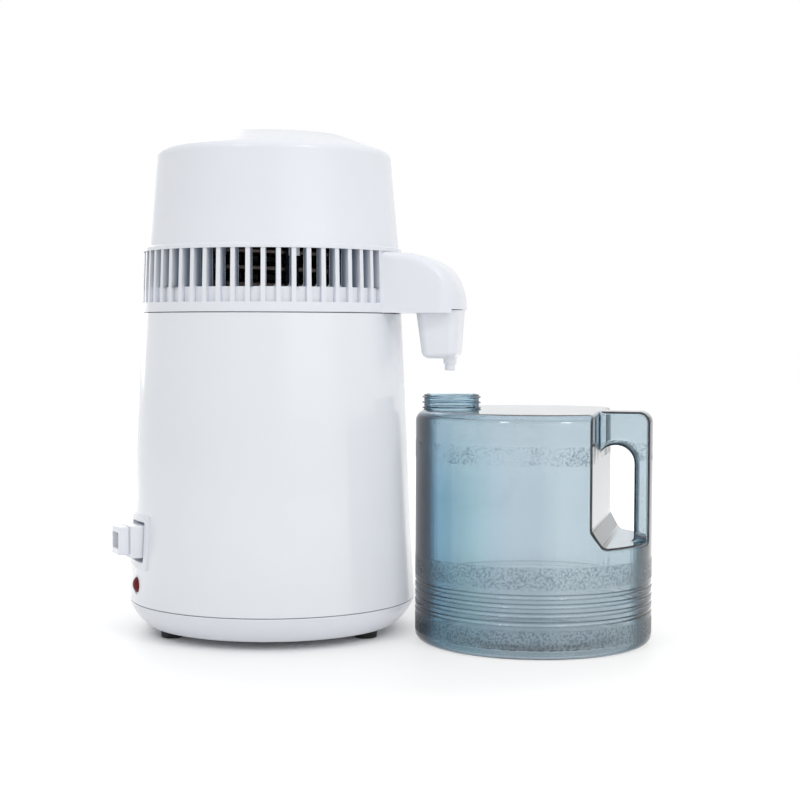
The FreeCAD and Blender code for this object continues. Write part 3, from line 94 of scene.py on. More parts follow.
class Body(Enum):
    """The frame's moving bodies."""

    STAND = "stand"
    BUTTON = "button"
    HEAD = "head"
    FAN = "fan"
    CUP = "cup"
    JUG = "jug"


class Slot(Enum):
    """The record's material slots."""

    WHITE_PLASTIC = "white_plastic"
    WHITE_ENAMEL = "white_enamel"
    BLACK_RUBBER = "black_rubber"
    GREY_PLASTIC = "grey_plastic"
    STAINLESS = "stainless"
    ZINC_STEEL = "zinc_steel"
    ALUMINIUM = "aluminium"
    NICKEL_BRASS = "nickel_brass"
    RED_PLASTIC = "red_plastic"
    SILICONE = "silicone"
    COPPER_WINDING = "copper_winding"
    CARBON_CLOTH = "carbon_cloth"
    BLUE_CLEAR = "blue_clear_plastic"


# ------------------------------------------------------------------ drawing


class Outline:
    """A half outline in the XZ plane, in millimetres: what a lathe would follow."""

    def __init__(self, across: float, up: float, rounding: float = 0.0) -> None:
        """Start the outline.

        Args:
            across: distance from the axis.
            up: height.
            rounding: length that a round corner takes of each edge here.
        """
        self.mesh: Mesh = bmesh.new()
        self.first = self.mesh.verts.new((across, 0.0, up))
        self.last = self.first
        self.corners = [(self.first, rounding)] if rounding else []

    def to(self, across: float, up: float, rounding: float = 0.0) -> Outline:
        """Draw a straight edge.

        Args:
            across: distance of its end from the axis.
            up: height of its end.
            rounding: length that a round corner takes of each edge there.

        Returns:
            The outline itself.
        """
        following = self.mesh.verts.new((across, 0.0, up))
        self.mesh.edges.new((self.last, following))
        self.last = following
        if rounding:
            self.corners.append((following, rounding))
        return self

    def bow(self, across: float, up: float, bend: float, step: float = 6.0) -> Outline:
        """Draw an arc.

        Args:
            across: distance of its end from the axis.
            up: height of its end.
            bend: radius, positive where the arc turns left.
            step: largest angle of one of its edges, in degrees.

        Returns:
            The outline itself.
        """
        start, end = self.last.co.copy(), Vector((across, 0.0, up))
        chord = end - start
        aside = Vector((-chord.z, 0.0, chord.x)).normalized()
        reach = math.sqrt(bend**2 - (chord.length / 2) ** 2)
        centre = (start + end) / 2 + aside * math.copysign(reach, bend)
        sweep = 2 * math.asin(chord.length / 2 / abs(bend))
        made = bmesh.ops.spin(
            self.mesh,
            geom=[self.last],
            cent=centre,
            axis=(0.0, -math.copysign(1.0, bend), 0.0),
            angle=sweep,
            steps=max(2, math.ceil(math.degrees(sweep) / step)),
        )
        self.last = next(item for item in made["geom_last"] if isinstance(item, bmesh.types.BMVert))
        return self

    def spun(self, steps: int = 224, closed: bool = True) -> Mesh:
        """Turn the outline into a solid of revolution.

        Args:
            steps: faces round the axis.
            closed: whether the outline's end joins its start, as where it keeps clear of the axis.

        Returns:
            The mesh, in millimetres about its own axis.
        """
        if closed:
            self.mesh.edges.new((self.last, self.first))
        for corner, width in self.corners:
            bmesh.ops.bevel(
                self.mesh, geom=[corner], offset=width, offset_type="OFFSET", segments=4, profile=0.5,
                affect="VERTICES", material=-1,
            )
        bmesh.ops.spin(
            self.mesh, geom=self.mesh.verts[:] + self.mesh.edges[:], cent=(0, 0, 0), axis=(0, 0, 1),
            angle=math.tau, steps=steps, use_merge=True,
        )
        bmesh.ops.remove_doubles(self.mesh, verts=self.mesh.verts, dist=1e-4)
        bmesh.ops.recalc_face_normals(self.mesh, faces=self.mesh.faces)
        return self.mesh


def prism(points: list[tuple[float, float]], low: float, high: float, corner: float = 0.0) -> Mesh:
    """Extrude an outline in the XY plane upwards.

    Args:
        points: its corners.
        low: height of its underside.
        high: height of its top.
        corner: width of the rounding of its upright edges.

    Returns:
        A closed mesh in millimetres.
    """
    mesh = bmesh.new()
    face = mesh.faces.new([mesh.verts.new((x, y, low)) for x, y in points])
    made = bmesh.ops.extrude_face_region(mesh, geom=[face])["geom"]
    moved = [item for item in made if isinstance(item, bmesh.types.BMVert)]
    bmesh.ops.translate(mesh, verts=moved, vec=(0, 0, high - low))
    if corner:
        upright = [e for e in mesh.edges if abs(e.verts[0].co.z - e.verts[1].co.z) > (high - low) / 2]
        round_edges(mesh, upright, corner, 6)
    bmesh.ops.recalc_face_normals(mesh, faces=mesh.faces)
    return mesh


def block(low: tuple[float, float, float], high: tuple[float, float, float], corner: float = 0.0) -> Mesh:
    """Make a box from corner to corner, with round upright edges where asked."""
    (left, near, bottom), (right, far, top) = low, high
    return prism([(left, near), (right, near), (right, far), (left, far)], bottom, top, corner)


def rod(radius: float, length: float, segments: int) -> Mesh:
    """Make an upright cylinder about its own middle.

    Args:
        radius: its radius.
        length: its height.
        segments: faces round it.

    Returns:
        A closed mesh in millimetres.
    """
    mesh = bmesh.new()
    bmesh.ops.create_cone(mesh, cap_ends=True, segments=segments, radius1=radius, radius2=radius, depth=length)
    return mesh


def round_edges(mesh: Mesh, edges: list[Edge], width: float, segments: int = 3) -> None:
    """Round some edges of a mesh.

    Args:
        mesh: the mesh.
        edges: those of its edges.
        width: how far the rounding reaches on each side.
        segments: faces across the rounding.
    """
    bmesh.ops.bevel(
        mesh, geom=edges, offset=width, offset_type="OFFSET", segments=segments, profile=0.5, affect="EDGES",
        clamp_overlap=True, material=-1,
    )


def sharp_edges(mesh: Mesh, degrees: float = 35.0) -> list[Edge]:
    """The edges at which a mesh turns by more than an angle."""
    limit = math.radians(degrees)
    return [e for e in mesh.edges if len(e.link_faces) == 2 and e.calc_face_angle(0.0) > limit]


def level(mesh: Mesh, matrix: Matrix) -> Mesh:
    """Turn or move a whole mesh and give it back."""
    bmesh.ops.transform(mesh, matrix=matrix, verts=mesh.verts)
    return mesh


def around(degrees: float, out: float = 0.0) -> Matrix:
    """Moves out along X and then turns round the upright axis."""
    return Matrix.Rotation(math.radians(degrees), 4, "Z") @ Matrix.Translation((out, 0.0, 0.0))


def lying(out: float, height: float) -> Matrix:
    """Lays what is drawn upright along X, and moves it out and up."""
    return Matrix.Translation((out, 0.0, height)) @ Matrix.Rotation(math.pi / 2, 4, "Y")


def joined(parts: list[Mesh]) -> Mesh:
    """Put several meshes into one.

    Args:
        parts: the meshes; they are freed.

    Returns:
        The one mesh.
    """
    whole = bmesh.new()
    for part in parts:
        data = bpy.data.meshes.new("part")
        part.to_mesh(data)
        part.free()
        whole.from_mesh(data)
        bpy.data.meshes.remove(data)
    return whole


def loose(mesh: Mesh, name: str = "tool") -> Piece:
    """Make a scene object of a mesh.

    Args:
        mesh: the mesh; it is freed.
        name: the object's name.

    Returns:
        The object.
    """
    data = bpy.data.meshes.new(name)
    mesh.to_mesh(data)
    mesh.free()
    item = bpy.data.objects.new(name, data)
    bpy.context.scene.collection.objects.link(item)
    return item


def combined(base: Mesh, tool: Mesh, operation: str, crossing: bool = False) -> Mesh:
    """Join, cut or intersect two closed meshes.

    Args:
        base: the mesh that is worked on; it is freed.
        tool: the mesh that works on it; it is freed.
        operation: UNION, DIFFERENCE or INTERSECT.
        crossing: whether parts of the tool run through each other.

    Returns:
        The result.
    """
    body, cutter = loose(base), loose(tool)
    modifier = body.modifiers.new("combine", "BOOLEAN")
    modifier.operation = operation
    modifier.solver = "EXACT"
    modifier.use_self = crossing
    modifier.object = cutter
    graph = bpy.context.evaluated_depsgraph_get()
    data = bpy.data.meshes.new_from_object(body.evaluated_get(graph))
    result = bmesh.new()
    result.from_mesh(data)
    bmesh.ops.remove_doubles(result, verts=result.verts, dist=1e-3)
    for item in (body, cutter):
        used = item.data
        bpy.data.objects.remove(item)
        bpy.data.meshes.remove(used)
    bpy.data.meshes.remove(data)
    return result


def cut(base: Mesh, *tools: Mesh) -> Mesh:
    """Take each tool out of a mesh, one after the other.

    Args:
        base: the mesh; it is freed.
        tools: closed meshes; they are freed.

    Returns:
        What is left.
    """
    for tool in tools:
        base = combined(base, tool, "DIFFERENCE")
    return base


def finished(mesh: Mesh, name: str, place: Matrix, sharp: float = 32.0) -> Piece:
    """Carry a mesh drawn in millimetres to its place in metres and make the piece.

    Args:
        mesh: the mesh; it is freed.
        name: the piece's name.
        place: where its own axis stands in the row frame.
        sharp: angle in degrees past which an edge isn't shaded smooth.

    Returns:
        The piece, at the origin.
    """
    bmesh.ops.transform(mesh, matrix=place @ Matrix.Scale(MM, 4), verts=mesh.verts)
    bmesh.ops.recalc_face_normals(mesh, faces=mesh.faces)
    piece = loose(mesh, name)
    piece.data.shade_smooth()
    piece.data.set_sharp_from_angle(angle=math.radians(sharp))
    return piece


def smooth_copy(node: str, name: str, sharp: float = 28.0, flats: float = 0.0) -> Piece:
    """Copy a node's mesh, merge its loose triangles and shade it smooth.

    Args:
        node: the node's name.
        name: the new piece's name.
        sharp: angle in degrees past which an edge isn't shaded smooth.
        flats: area in square millimetres past which a flat face keeps its own normal, or nought.

    Returns:
        The piece, which isn't yet riding on anything.
    """
    mesh = bmesh.new()
    mesh.from_mesh(bpy.data.objects[node].data)
    bmesh.ops.remove_doubles(mesh, verts=mesh.verts, dist=2e-6)
    held: list[int] = []
    if flats:
        bmesh.ops.dissolve_limit(
            mesh, angle_limit=math.radians(0.3), use_dissolve_boundaries=False, verts=mesh.verts, edges=mesh.edges
        )
        mesh.verts.index_update()
        held = [v.index for v in mesh.verts if any(f.calc_area() > flats * MM * MM for f in v.link_faces)]
    piece = loose(mesh, name)
    if held:
        piece.vertex_groups.new(name="flats").add(held, 1.0, "REPLACE")
        even = piece.modifiers.new("even", "WEIGHTED_NORMAL")
        even.keep_sharp = True
        even.vertex_group = "flats"
    piece.data.materials.clear()
    piece.data.shade_smooth()
    piece.data.set_sharp_from_angle(angle=math.radians(sharp))
    return piece


# ------------------------------------------------------------------ finishes


def linear(colour: str) -> Colour:
    """Turn an sRGB hex colour into linear light.

    Args:
        colour: six hex digits after a hash.

    Returns:
        Red, green, blue and an alpha of one.
    """
    parts = [int(colour[i : i + 2], 16) / 255 for i in (1, 3, 5)]
    light = [p / 12.92 if p <= 0.04045 else ((p + 0.055) / 1.055) ** 2.4 for p in parts]
    return (*light, 1.0)


def per(size: float) -> float:
    """Scale of a pattern whose features are this many millimetres apart, on Object coordinates."""
    return 1.0 / (size * MM)


def add(tree: Tree, kind: str, inputs: dict | None = None, **settings: object) -> Node:
    """Add a node.

    Args:
        tree: the material's or world's tree.
        kind: the node's type, without its ShaderNode prefix.
        inputs: sockets by name or number, each a constant or an output to link.
        settings: the node's own properties.

    Returns:
        The node.
    """
    item = tree.nodes.new("ShaderNode" + kind)
    for name, setting in settings.items():
        setattr(item, name, setting)
    for socket, source in (inputs or {}).items():
        if isinstance(source, Socket):
            tree.links.new(source, item.inputs[socket])
        else:
            item.inputs[socket].default_value = source
    return item


def maths(tree: Tree, operation: str, *values: Socket | float, clamp: bool = False) -> Socket:
    """Work something out from one to three values."""
    return add(tree, "Math", dict(enumerate(values)), operation=operation, use_clamp=clamp).outputs[0]


def vectors(
    tree: Tree, operation: str, *values: Socket | tuple[float, float, float]
) -> bpy.types.bpy_prop_collection:
    """Work something out from one or two vectors: the outputs hold it as Vector or as Value."""
    return add(tree, "VectorMath", dict(enumerate(values)), operation=operation).outputs


def from_axis(tree: Tree, place: Socket, axis: tuple[float, float]) -> Socket:
    """Give the level vector from an upright axis, whose place is in metres, to a point."""
    flat = vectors(tree, "MULTIPLY", place, (1.0, 1.0, 0.0))["Vector"]
    return vectors(tree, "SUBTRACT", flat, (*axis, 0.0))["Vector"]


def mixed(
    tree: Tree, factor: Socket | float, first: Socket | Colour, second: Socket | Colour, blend: str = "MIX"
) -> Socket:
    """Mix two colours."""
    inputs = {"Factor": factor, 6: first, 7: second}
    return add(tree, "Mix", inputs, data_type="RGBA", blend_type=blend).outputs[2]


def spread(
    tree: Tree, value: Socket, start: tuple[float, float], end: tuple[float, float] = (0.0, 1.0), smooth: bool = False
) -> Socket:
    """Map a value from one range to another and hold it there.

    Args:
        tree: the tree.
        value: the value.
        start: the range that it comes from.
        end: the range that it goes to.
        smooth: whether it eases in and out.

    Returns:
        The mapped value.
    """
    inputs = {"Value": value, "From Min": start[0], "From Max": start[1], "To Min": end[0], "To Max": end[1]}
    kind = "SMOOTHSTEP" if smooth else "LINEAR"
    return add(tree, "MapRange", inputs, interpolation_type=kind).outputs["Result"]


def noise(tree: Tree, place: Socket, size: float, detail: float) -> Socket:
    """Give a noise whose features are this many millimetres across."""
    return add(tree, "TexNoise", {"Vector": place, "Scale": per(size), "Detail": detail}).outputs["Fac"]


def drawn_out(tree: Tree, place: Socket, sizes: tuple[float, float, float], detail: float) -> Socket:
    """Give a noise whose features have these sizes along X, Y and Z, in millimetres."""
    laid = add(tree, "Mapping", {"Vector": place, "Scale": tuple(per(size) for size in sizes)}).outputs[0]
    return add(tree, "TexNoise", {"Vector": laid, "Scale": 1.0, "Detail": detail}).outputs["Fac"]


def ramp(tree: Tree, share: Socket, stops: list[tuple[float, Colour]]) -> Socket:
    """Lay colours along a scale.

    Args:
        tree: the tree.
        share: where on the scale a point is, from nought to one.
        stops: places on the scale and their colours, in linear light, rising.

    Returns:
        The colour.
    """
    item = add(tree, "ValToRGB", {"Fac": share})
    elements = item.color_ramp.elements
    for place, colour in stops[1:-1]:
        elements.new(place).color = colour
    for element, (place, colour) in ((elements[0], stops[0]), (elements[-1], stops[-1])):
        element.position = place
        element.color = colour
    return item.outputs["Color"]


@dataclass(frozen=True)
class Finish:
    """What every finish has: a colour that drifts a little, a gloss that drifts a little, and a fine relief."""

    name: str
    colour: str
    drift: str
    roughness: float
    haze: float
    grain: float
    relief: float
    ior: float = 1.5
    metallic: float = 0.0
    # sizes of the clouds of the colour's drift and of the smears of the gloss, in millimetres
    cloud: float = field(default=45.0, kw_only=True)
    smear: float = field(default=9.0, kw_only=True)

    def made(self) -> bpy.types.Material:
        """Build the material and give it."""
        material = bpy.data.materials.new(self.name)
        material.use_nodes = True
        tree = material.node_tree
        shader = tree.nodes["Principled BSDF"]
        place = add(tree, "TexCoord").outputs["Object"]
        shader.inputs["Metallic"].default_value = self.metallic
        if not self.metallic:
            shader.inputs["IOR"].default_value = self.ior
        self.paint(tree, shader, place)
        return material

    def paint(self, tree: Tree, shader: Node, place: Socket) -> None:
        """Link the finish's own nodes.

        Args:
            tree: the material's tree.
            shader: its Principled shader.
            place: the piece's own coordinates.
        """
        clouds = noise(tree, place, self.cloud, 3.0)
        tree.links.new(mixed(tree, clouds, linear(self.colour), linear(self.drift)), shader.inputs["Base Color"])
        gloss = spread(tree, noise(tree, place, self.smear, 4.0), PATCHES, (self.roughness, self.roughness + self.haze))
        tree.links.new(gloss, shader.inputs["Roughness"])
        self.texture(tree, shader, place)

    def texture(self, tree: Tree, shader: Node, place: Socket) -> None:
        """Give the surface its relief; the arguments are those of paint."""
        self.bump(tree, shader, noise(tree, place, self.grain, 2.0), self.relief)

    def bump(self, tree: Tree, shader: Node, height: Socket, relief: float) -> None:
        """Turn a pattern into a relief, over the relief that is there.

        Args:
            tree: the material's tree.
            shader: its Principled shader.
            height: the pattern, from nought to one.
            relief: how high it stands, in millimetres.
        """
        inputs = {"Height": height, "Strength": 1.0, "Distance": relief * MM}
        if shader.inputs["Normal"].links:
            inputs["Normal"] = shader.inputs["Normal"].links[0].from_socket
        tree.links.new(add(tree, "Bump", inputs).outputs["Normal"], shader.inputs["Normal"])


@dataclass(frozen=True)
class Enamelled(Finish):
    """Steel with a baked coat: a wet gloss over a faint orange peel."""

    def texture(self, tree: Tree, shader: Node, place: Socket) -> None:
        """Lay the clear top of the coat over the peel; the arguments are those of paint."""
        shader.inputs["Coat Weight"].default_value = 0.4
        shader.inputs["Coat Roughness"].default_value = 0.06
        super().texture(tree, shader, place)


@dataclass(frozen=True)
class Drawn(Finish):
    """Metal with the fine lines of rolling or drawing, which spread its highlights one way."""

    across: float = 0.25
    along: float = 30.0

    def texture(self, tree: Tree, shader: Node, place: Socket) -> None:
        """Stretch the grain along the drawing direction; the arguments are those of paint."""
        shader.inputs["Anisotropic"].default_value = 0.4
        lines = drawn_out(tree, place, (self.along, self.along, self.across), 3.0)
        self.bump(tree, shader, lines, self.relief)


@dataclass(frozen=True)
class Wound(Finish):
    """Lacquered wire laid turn beside turn: a row of round ridges."""

    pitch: float = 0.8

    def texture(self, tree: Tree, shader: Node, place: Socket) -> None:
        """Lay the turns side by side along X; the arguments are those of paint."""
        turns = add(
            tree, "TexWave", {"Vector": place, "Scale": per(self.pitch) / math.tau * 2, "Distortion": 0.4},
            wave_type="BANDS", bands_direction="X",
        ).outputs["Fac"]
        self.bump(tree, shader, turns, self.relief)


@dataclass(frozen=True)
class Felted(Finish):
    """Non-woven cloth: random fibres pressed flat."""

    def texture(self, tree: Tree, shader: Node, place: Socket) -> None:
        """Cross two stretched noises for the fibres; the arguments are those of paint."""
        shader.inputs["Sheen Weight"].default_value = 0.3
        fibres = [drawn_out(tree, place, sizes, 2.0) for sizes in ((2.5, 0.25, 0.25), (0.25, 2.5, 0.3))]
        self.bump(tree, shader, maths(tree, "ADD", *fibres), self.relief)


@dataclass(frozen=True)
class ShadePaintedVents(Finish):
    """Moulded plastic with painted shade in its slots: dark in the throat and grey-blue on the fins' sides."""

    middle: tuple[float, float] = (0.0, 0.0)
    # painted shade: how the colour is dimmed by distance from the head's axis, from the inside to the outer face
    painted_shade_by_radius: tuple[tuple[float, str], ...] = (
        (88.0, "#28323C"), (89.6, "#28323C"), (90.1, "#9FACBA"), (94.0, "#BCC7D2"), (98.0, "#FFFFFF"),
    )
    back_wall: float = 89.9

    def texture(self, tree: Tree, shader: Node, place: Socket) -> None:
        """Paint shade on what lies nearer to the axis than the outer face; the arguments are those of paint."""
        outward = from_axis(tree, place, self.middle)
        away = vectors(tree, "LENGTH", outward)["Value"]
        inner, outer = self.painted_shade_by_radius[0][0], self.painted_shade_by_radius[-1][0]
        share = spread(tree, away, (inner * MM, outer * MM))
        shade = ramp(tree, share, [((radius - inner) / (outer - inner), linear(hue)) for radius, hue in self.painted_shade_by_radius])
        # what faces outwards on the slots' back wall and beyond is left without the painted shade, as a lit face
        along = vectors(tree, "NORMALIZE", outward)["Vector"]
        facing = vectors(tree, "DOT_PRODUCT", along, add(tree, "NewGeometry").outputs["True Normal"])["Value"]
        beyond = maths(tree, "GREATER_THAN", away, self.back_wall * MM)
        pale = maths(tree, "MULTIPLY", facing, beyond, clamp=True)
        painted = shader.inputs["Base Color"].links[0].from_socket
        colour = mixed(tree, 1.0, painted, mixed(tree, pale, shade, WHITE), "MULTIPLY")
        tree.links.new(colour, shader.inputs["Base Color"])
        super().texture(tree, shader, place)


@dataclass(frozen=True)
class Band:
    """A stippled band round the jug.

    Attributes:
        low: height of its lower edge, in millimetres.
        high: height of its upper edge.
        worn: how much of it the stipple leaves smooth, from nought to one.
    """

    low: float
    high: float
    worn: float = 0.0


@dataclass(frozen=True)
class TintedClear(Finish):
    """Blown polycarbonate: clear, tinted through its depth, with pebbled bands that scatter what shows through."""

    bands: tuple[Band, ...] = ()
    depth: str = "#3099B8"
    density: float = 160.0
    middle: tuple[float, float] = (113.7, 0.0)
    # painted shade: the wall darkens towards the neck's side, its tint laid by distance from the axis, towards the
    # lighter side; the drift is the neck's own, even tint
    lighter_side: tuple[float, float] = (0.991, 0.134)
    painted_side_shade: tuple[tuple[float, str], ...] = ()
    # painted shade: a wall seen edge on is darkened by how far it is turned away, for the light that it turns aside
    painted_edge_shade: tuple[tuple[float, str], ...] = (
        (0.43, "#FFFFFF"), (0.5, "#9DB4BC"), (0.55, "#3E5F6C"), (0.61, "#193D4F"), (0.67, "#000A15"),
    )
    # how far a wall's normal rises where it stops counting as upright
    upright: tuple[float, float] = (0.55, 0.9)
    neck: float = 171.0
    neck_fade: float = 4.0
    pebble: float = 1.5
    pebble_height: float = 0.25
    # painted shade in the pebbles' valleys: its colour and its strength
    painted_valley_shade: str = "#3F6072"
    painted_valley_depth: float = 0.7
    # the part of a pebble's profile over which the painted shade darkens its valley
    painted_valley_rise: tuple[float, float] = (0.36, 0.56)
    patch: float = 24.0
    edge: float = 1.6
    # the grooves' lips get painted shade: height of the lowest groove, their pitch, their number, half their width
    groove: float = 25.9
    groove_pitch: float = 6.3
    grooves: int = 4
    groove_half: float = 1.7
    # the width of the painted shade on each lip, and its strength
    lip: float = 0.7
    painted_lip_depth: float = 0.5
    # the colour pales upwards: from which height to which, and how much of the tint is lost
    paler_upwards: tuple[float, float, float] = (110.0, 158.0, 0.5)

    def paint(self, tree: Tree, shader: Node, place: Socket) -> None:
        """Let light through, pebble the bands and paint shade into the wall; the arguments are those of Finish.paint.
        """
        shader.inputs["Transmission Weight"].default_value = 1.0
        soak = add(tree, "VolumeAbsorption", {"Color": linear(self.depth), "Density": self.density})
        tree.links.new(soak.outputs[0], tree.nodes["Material Output"].inputs["Volume"])
        height = add(tree, "SeparateXYZ", {0: place}).outputs["Z"]
        front = self.front(tree, place)
        mask = maths(tree, "MULTIPLY", self.stipple(tree, place, height), front)
        pebbles = add(
            tree, "TexVoronoi", {"Vector": place, "Scale": per(self.pebble), "Randomness": 1.0}, feature="SMOOTH_F1"
        ).outputs["Distance"]
        # painted shade: the valleys between the pebbles are darkened, as the light they turn aside would leave them
        low = maths(tree, "MULTIPLY", spread(tree, pebbles, self.painted_valley_rise), mask)
        painted_valley_dark = maths(tree, "MULTIPLY", low, self.painted_valley_depth)
        # painted shade on the grooves' lips, on the outer face only
        painted_lip_shade = maths(tree, "MULTIPLY", self.painted_lip_shade(tree, height), front)
        shade = maths(tree, "MAXIMUM", painted_valley_dark, painted_lip_shade)
        colour = mixed(tree, shade, self.tint(tree, place, height), linear(self.painted_valley_shade))
        tree.links.new(colour, shader.inputs["Base Color"])
        self.bump(tree, shader, noise(tree, place, self.grain, 1.0), self.relief)
        self.bump(tree, shader, maths(tree, "MULTIPLY", pebbles, mask), self.pebble_height)
        gloss = spread(tree, mask, (0.0, 1.0), (self.roughness, self.roughness + self.haze))
        tree.links.new(gloss, shader.inputs["Roughness"])

    def front(self, tree: Tree, place: Socket) -> Socket:
        """One where the outer face is seen from outside: from within the wall its relief hardly shows.

        Args:
            tree: the material's tree.
            place: the piece's own coordinates.

        Returns:
            One or nought.
        """
        outward = from_axis(tree, place, (self.middle[0] * MM, self.middle[1] * MM))
        surface = add(tree, "NewGeometry").outputs
        facing = vectors(tree, "DOT_PRODUCT", outward, surface["True Normal"])["Value"]
        return maths(
            tree, "SUBTRACT", maths(tree, "GREATER_THAN", facing, 0.0), surface["Backfacing"], clamp=True
        )

    def painted_lip_shade(self, tree: Tree, height: Socket) -> Socket:
        """Paint shade on the grooves' lips.

        Args:
            tree: the material's tree.
            height: the upright one of the piece's own coordinates.

        Returns:
            How strong the painted shade on them is, from nought to one.
        """
        above = maths(tree, "SUBTRACT", height, self.groove * MM)
        nearest = maths(tree, "PINGPONG", above, self.groove_pitch / 2 * MM)
        off = maths(tree, "COMPARE", nearest, self.groove_half * MM, self.lip / 2 * MM)
        reach = (self.grooves - 1) * self.groove_pitch / 2
        furthest = (reach + self.groove_half + self.lip) * MM
        ringed = maths(tree, "COMPARE", height, (self.groove + reach) * MM, furthest)
        return maths(tree, "MULTIPLY", maths(tree, "MULTIPLY", off, ringed), self.painted_lip_depth)

    def tint(self, tree: Tree, place: Socket, height: Socket) -> Socket:
        """Colour the wall with painted shade, darker towards the neck's side and where an upright wall is seen edge on,
        paler upwards, and tint the neck evenly.

        Args:
            tree: the material's tree.
            place: the piece's own coordinates.
            height: the upright one of them.

        Returns:
            The wall's colour.
        """
        # painted shade across the wall: half the width that its colours are laid along, in millimetres
        reach = 100.0
        across = vectors(tree, "DOT_PRODUCT", place, (*self.lighter_side, 0.0))["Value"]
        middle = Vector(self.middle).dot(Vector(self.lighter_side))
        share = spread(tree, across, ((middle - reach) * MM, (middle + reach) * MM))
        wall = ramp(tree, share, [((at + reach) / (2 * reach), linear(hue)) for at, hue in self.painted_side_shade])
        # paler upwards, from one height to another
        low, high, lost = self.paler_upwards
        paler = mixed(tree, spread(tree, height, (low * MM, high * MM), (0.0, lost)), wall, WHITE)
        up = spread(tree, height, (self.neck * MM, (self.neck + self.neck_fade) * MM))
        whole = mixed(tree, up, paler, linear(self.drift))
        normal = add(tree, "NewGeometry").outputs["True Normal"]
        # painted edge shade: the wall darkens as it turns edge on
        facing = add(tree, "LayerWeight", {"Blend": 0.5, "Normal": normal}).outputs["Facing"]
        aside = ramp(tree, facing, [(turned, linear(hue)) for turned, hue in self.painted_edge_shade])
        # the bottom and the top let light through to the eye: the painted edge shade falls only on the upright walls
        rise = maths(tree, "ABSOLUTE", add(tree, "SeparateXYZ", {0: normal}).outputs["Z"])
        return mixed(tree, spread(tree, rise, self.upright, (1.0, 0.0)), whole, aside, "MULTIPLY")

    def stipple(self, tree: Tree, place: Socket, height: Socket) -> Socket:
        """Mark the stippled bands.

        Args:
            tree: the material's tree.
            place: the piece's own coordinates.
            height: the upright one of them.

        Returns:
            How strong the stipple is, from nought to one.
        """
        patches = noise(tree, place, self.patch, 2.0)
        whole = None
        for band in self.bands:
            rise = spread(tree, height, (band.low * MM, (band.low + self.edge) * MM), smooth=True)
            fall = spread(tree, height, ((band.high - self.edge) * MM, band.high * MM), (1.0, 0.0), smooth=True)
            mask = maths(tree, "MULTIPLY", rise, fall)
            if band.worn:
                kept = spread(tree, patches, PATCHES, (1.0 - band.worn, 1.0), smooth=True)
                mask = maths(tree, "MULTIPLY", mask, kept)
            whole = mask if whole is None else maths(tree, "ADD", whole, mask)
        return whole


class Finishes:
    """Every finish of the set, made once and looked up by the record's slot."""

    def __init__(self) -> None:
        """Make the materials."""
        finishes = {
            # ABS from a polished mould: bright, faintly blue, with the soft ripple of cooled plastic
            Slot.WHITE_PLASTIC: Finish("gloss_abs", *WHITE_ABS),
            # baked enamel on the steel shell, a touch glossier than the plastic
            Slot.WHITE_ENAMEL: Enamelled("baked_enamel", "#EAEDF2", "#E6EAF0", 0.22, 0.05, 2.8, 0.005, 1.5),
            Slot.BLACK_RUBBER: Finish("moulded_rubber", "#161617", "#1D1D1E", 0.62, 0.15, 0.5, 0.02, 1.52),
            Slot.GREY_PLASTIC: Finish("phenolic", "#8B8C8C", "#7E7F80", 0.42, 0.12, 0.8, 0.01, 1.56),
            Slot.STAINLESS: Drawn("drawn_stainless", "#C3C1BC", "#BAB8B4", 0.2, 0.1, 0.3, 0.004, metallic=1.0),
            Slot.ZINC_STEEL: Drawn("zinc_plate", "#A9ABAE", "#9B9DA4", 0.32, 0.15, 0.4, 0.006, metallic=1.0),
            Slot.ALUMINIUM: Drawn("rolled_aluminium", "#D2D3D4", "#C4C6C9", 0.34, 0.12, 0.4, 0.006, metallic=1.0),
            Slot.NICKEL_BRASS: Drawn("nickel_plate", "#CFC9B8", "#C2BBA6", 0.22, 0.1, 0.3, 0.003, metallic=1.0),
            # transparent red polycarbonate over a dark switch: deep and wet
            Slot.RED_PLASTIC: Finish("red_lens", "#75040C", "#5E0209", 0.08, 0.04, 2.0, 0.002, 1.3),
            Slot.SILICONE: Finish("silicone", "#D9D9D4", "#D0D0CA", 0.5, 0.1, 1.2, 0.01, 1.41),
            Slot.COPPER_WINDING: Wound("lacquered_copper", "#B4693C", "#9A5630", 0.28, 0.1, 0.8, 0.25, metallic=1.0),
            Slot.CARBON_CLOTH: Felted("filter_cloth", "#E2E1DC", "#D6D5D0", 0.85, 0.08, 0.4, 0.12),
            # the jug's wall carries painted shade: across it, at its edges, in the pebbles' valleys and on the grooves'
            # lips
            Slot.BLUE_CLEAR: TintedClear(
                "tinted_polycarbonate", "#EBECEC", "#EDF5F8", 0.01, 0.29, 30.0, 0.05, 1.5,
                bands=(Band(7.0, 22.0), Band(49.0, 66.0, 0.3), Band(136.0, 151.0, 0.9)),
                painted_side_shade=(
                    (-88.0, "#ADCAD8"), (-73.0, "#B9D3DF"), (-61.0, "#C0D3D9"), (-42.0, "#D4E2E4"), (-33.0, "#DCE3E7"),
                    (-15.0, "#E2E5E7"), (4.0, "#E1E4E6"), (22.0, "#EBECEC"),
                ),
            ),
        }
        self.materials = {slot: finish.made() for slot, finish in finishes.items()}

    def dress(self, piece: Piece, slot: Slot, body: Body, node: str, finish: Finish | None = None) -> None:
        """Give a piece its finish, the slot's unless it has its own, put it on its body and hide the CAD node that it
        stands for.

        Args:
            piece: the piece.
            slot: the record's slot of its finish.
            body: the body that it moves with.
            node: the CAD node that it stands for.
            finish: a finish of its own, where it isn't the slot's.
        """
        piece.data.materials.clear()
        piece.data.materials.append(finish.made() if finish else self.materials[slot])
        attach(piece, body.value)
        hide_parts(node)
        log.info("%-18s %6d faces", piece.name, len(piece.data.polygons))


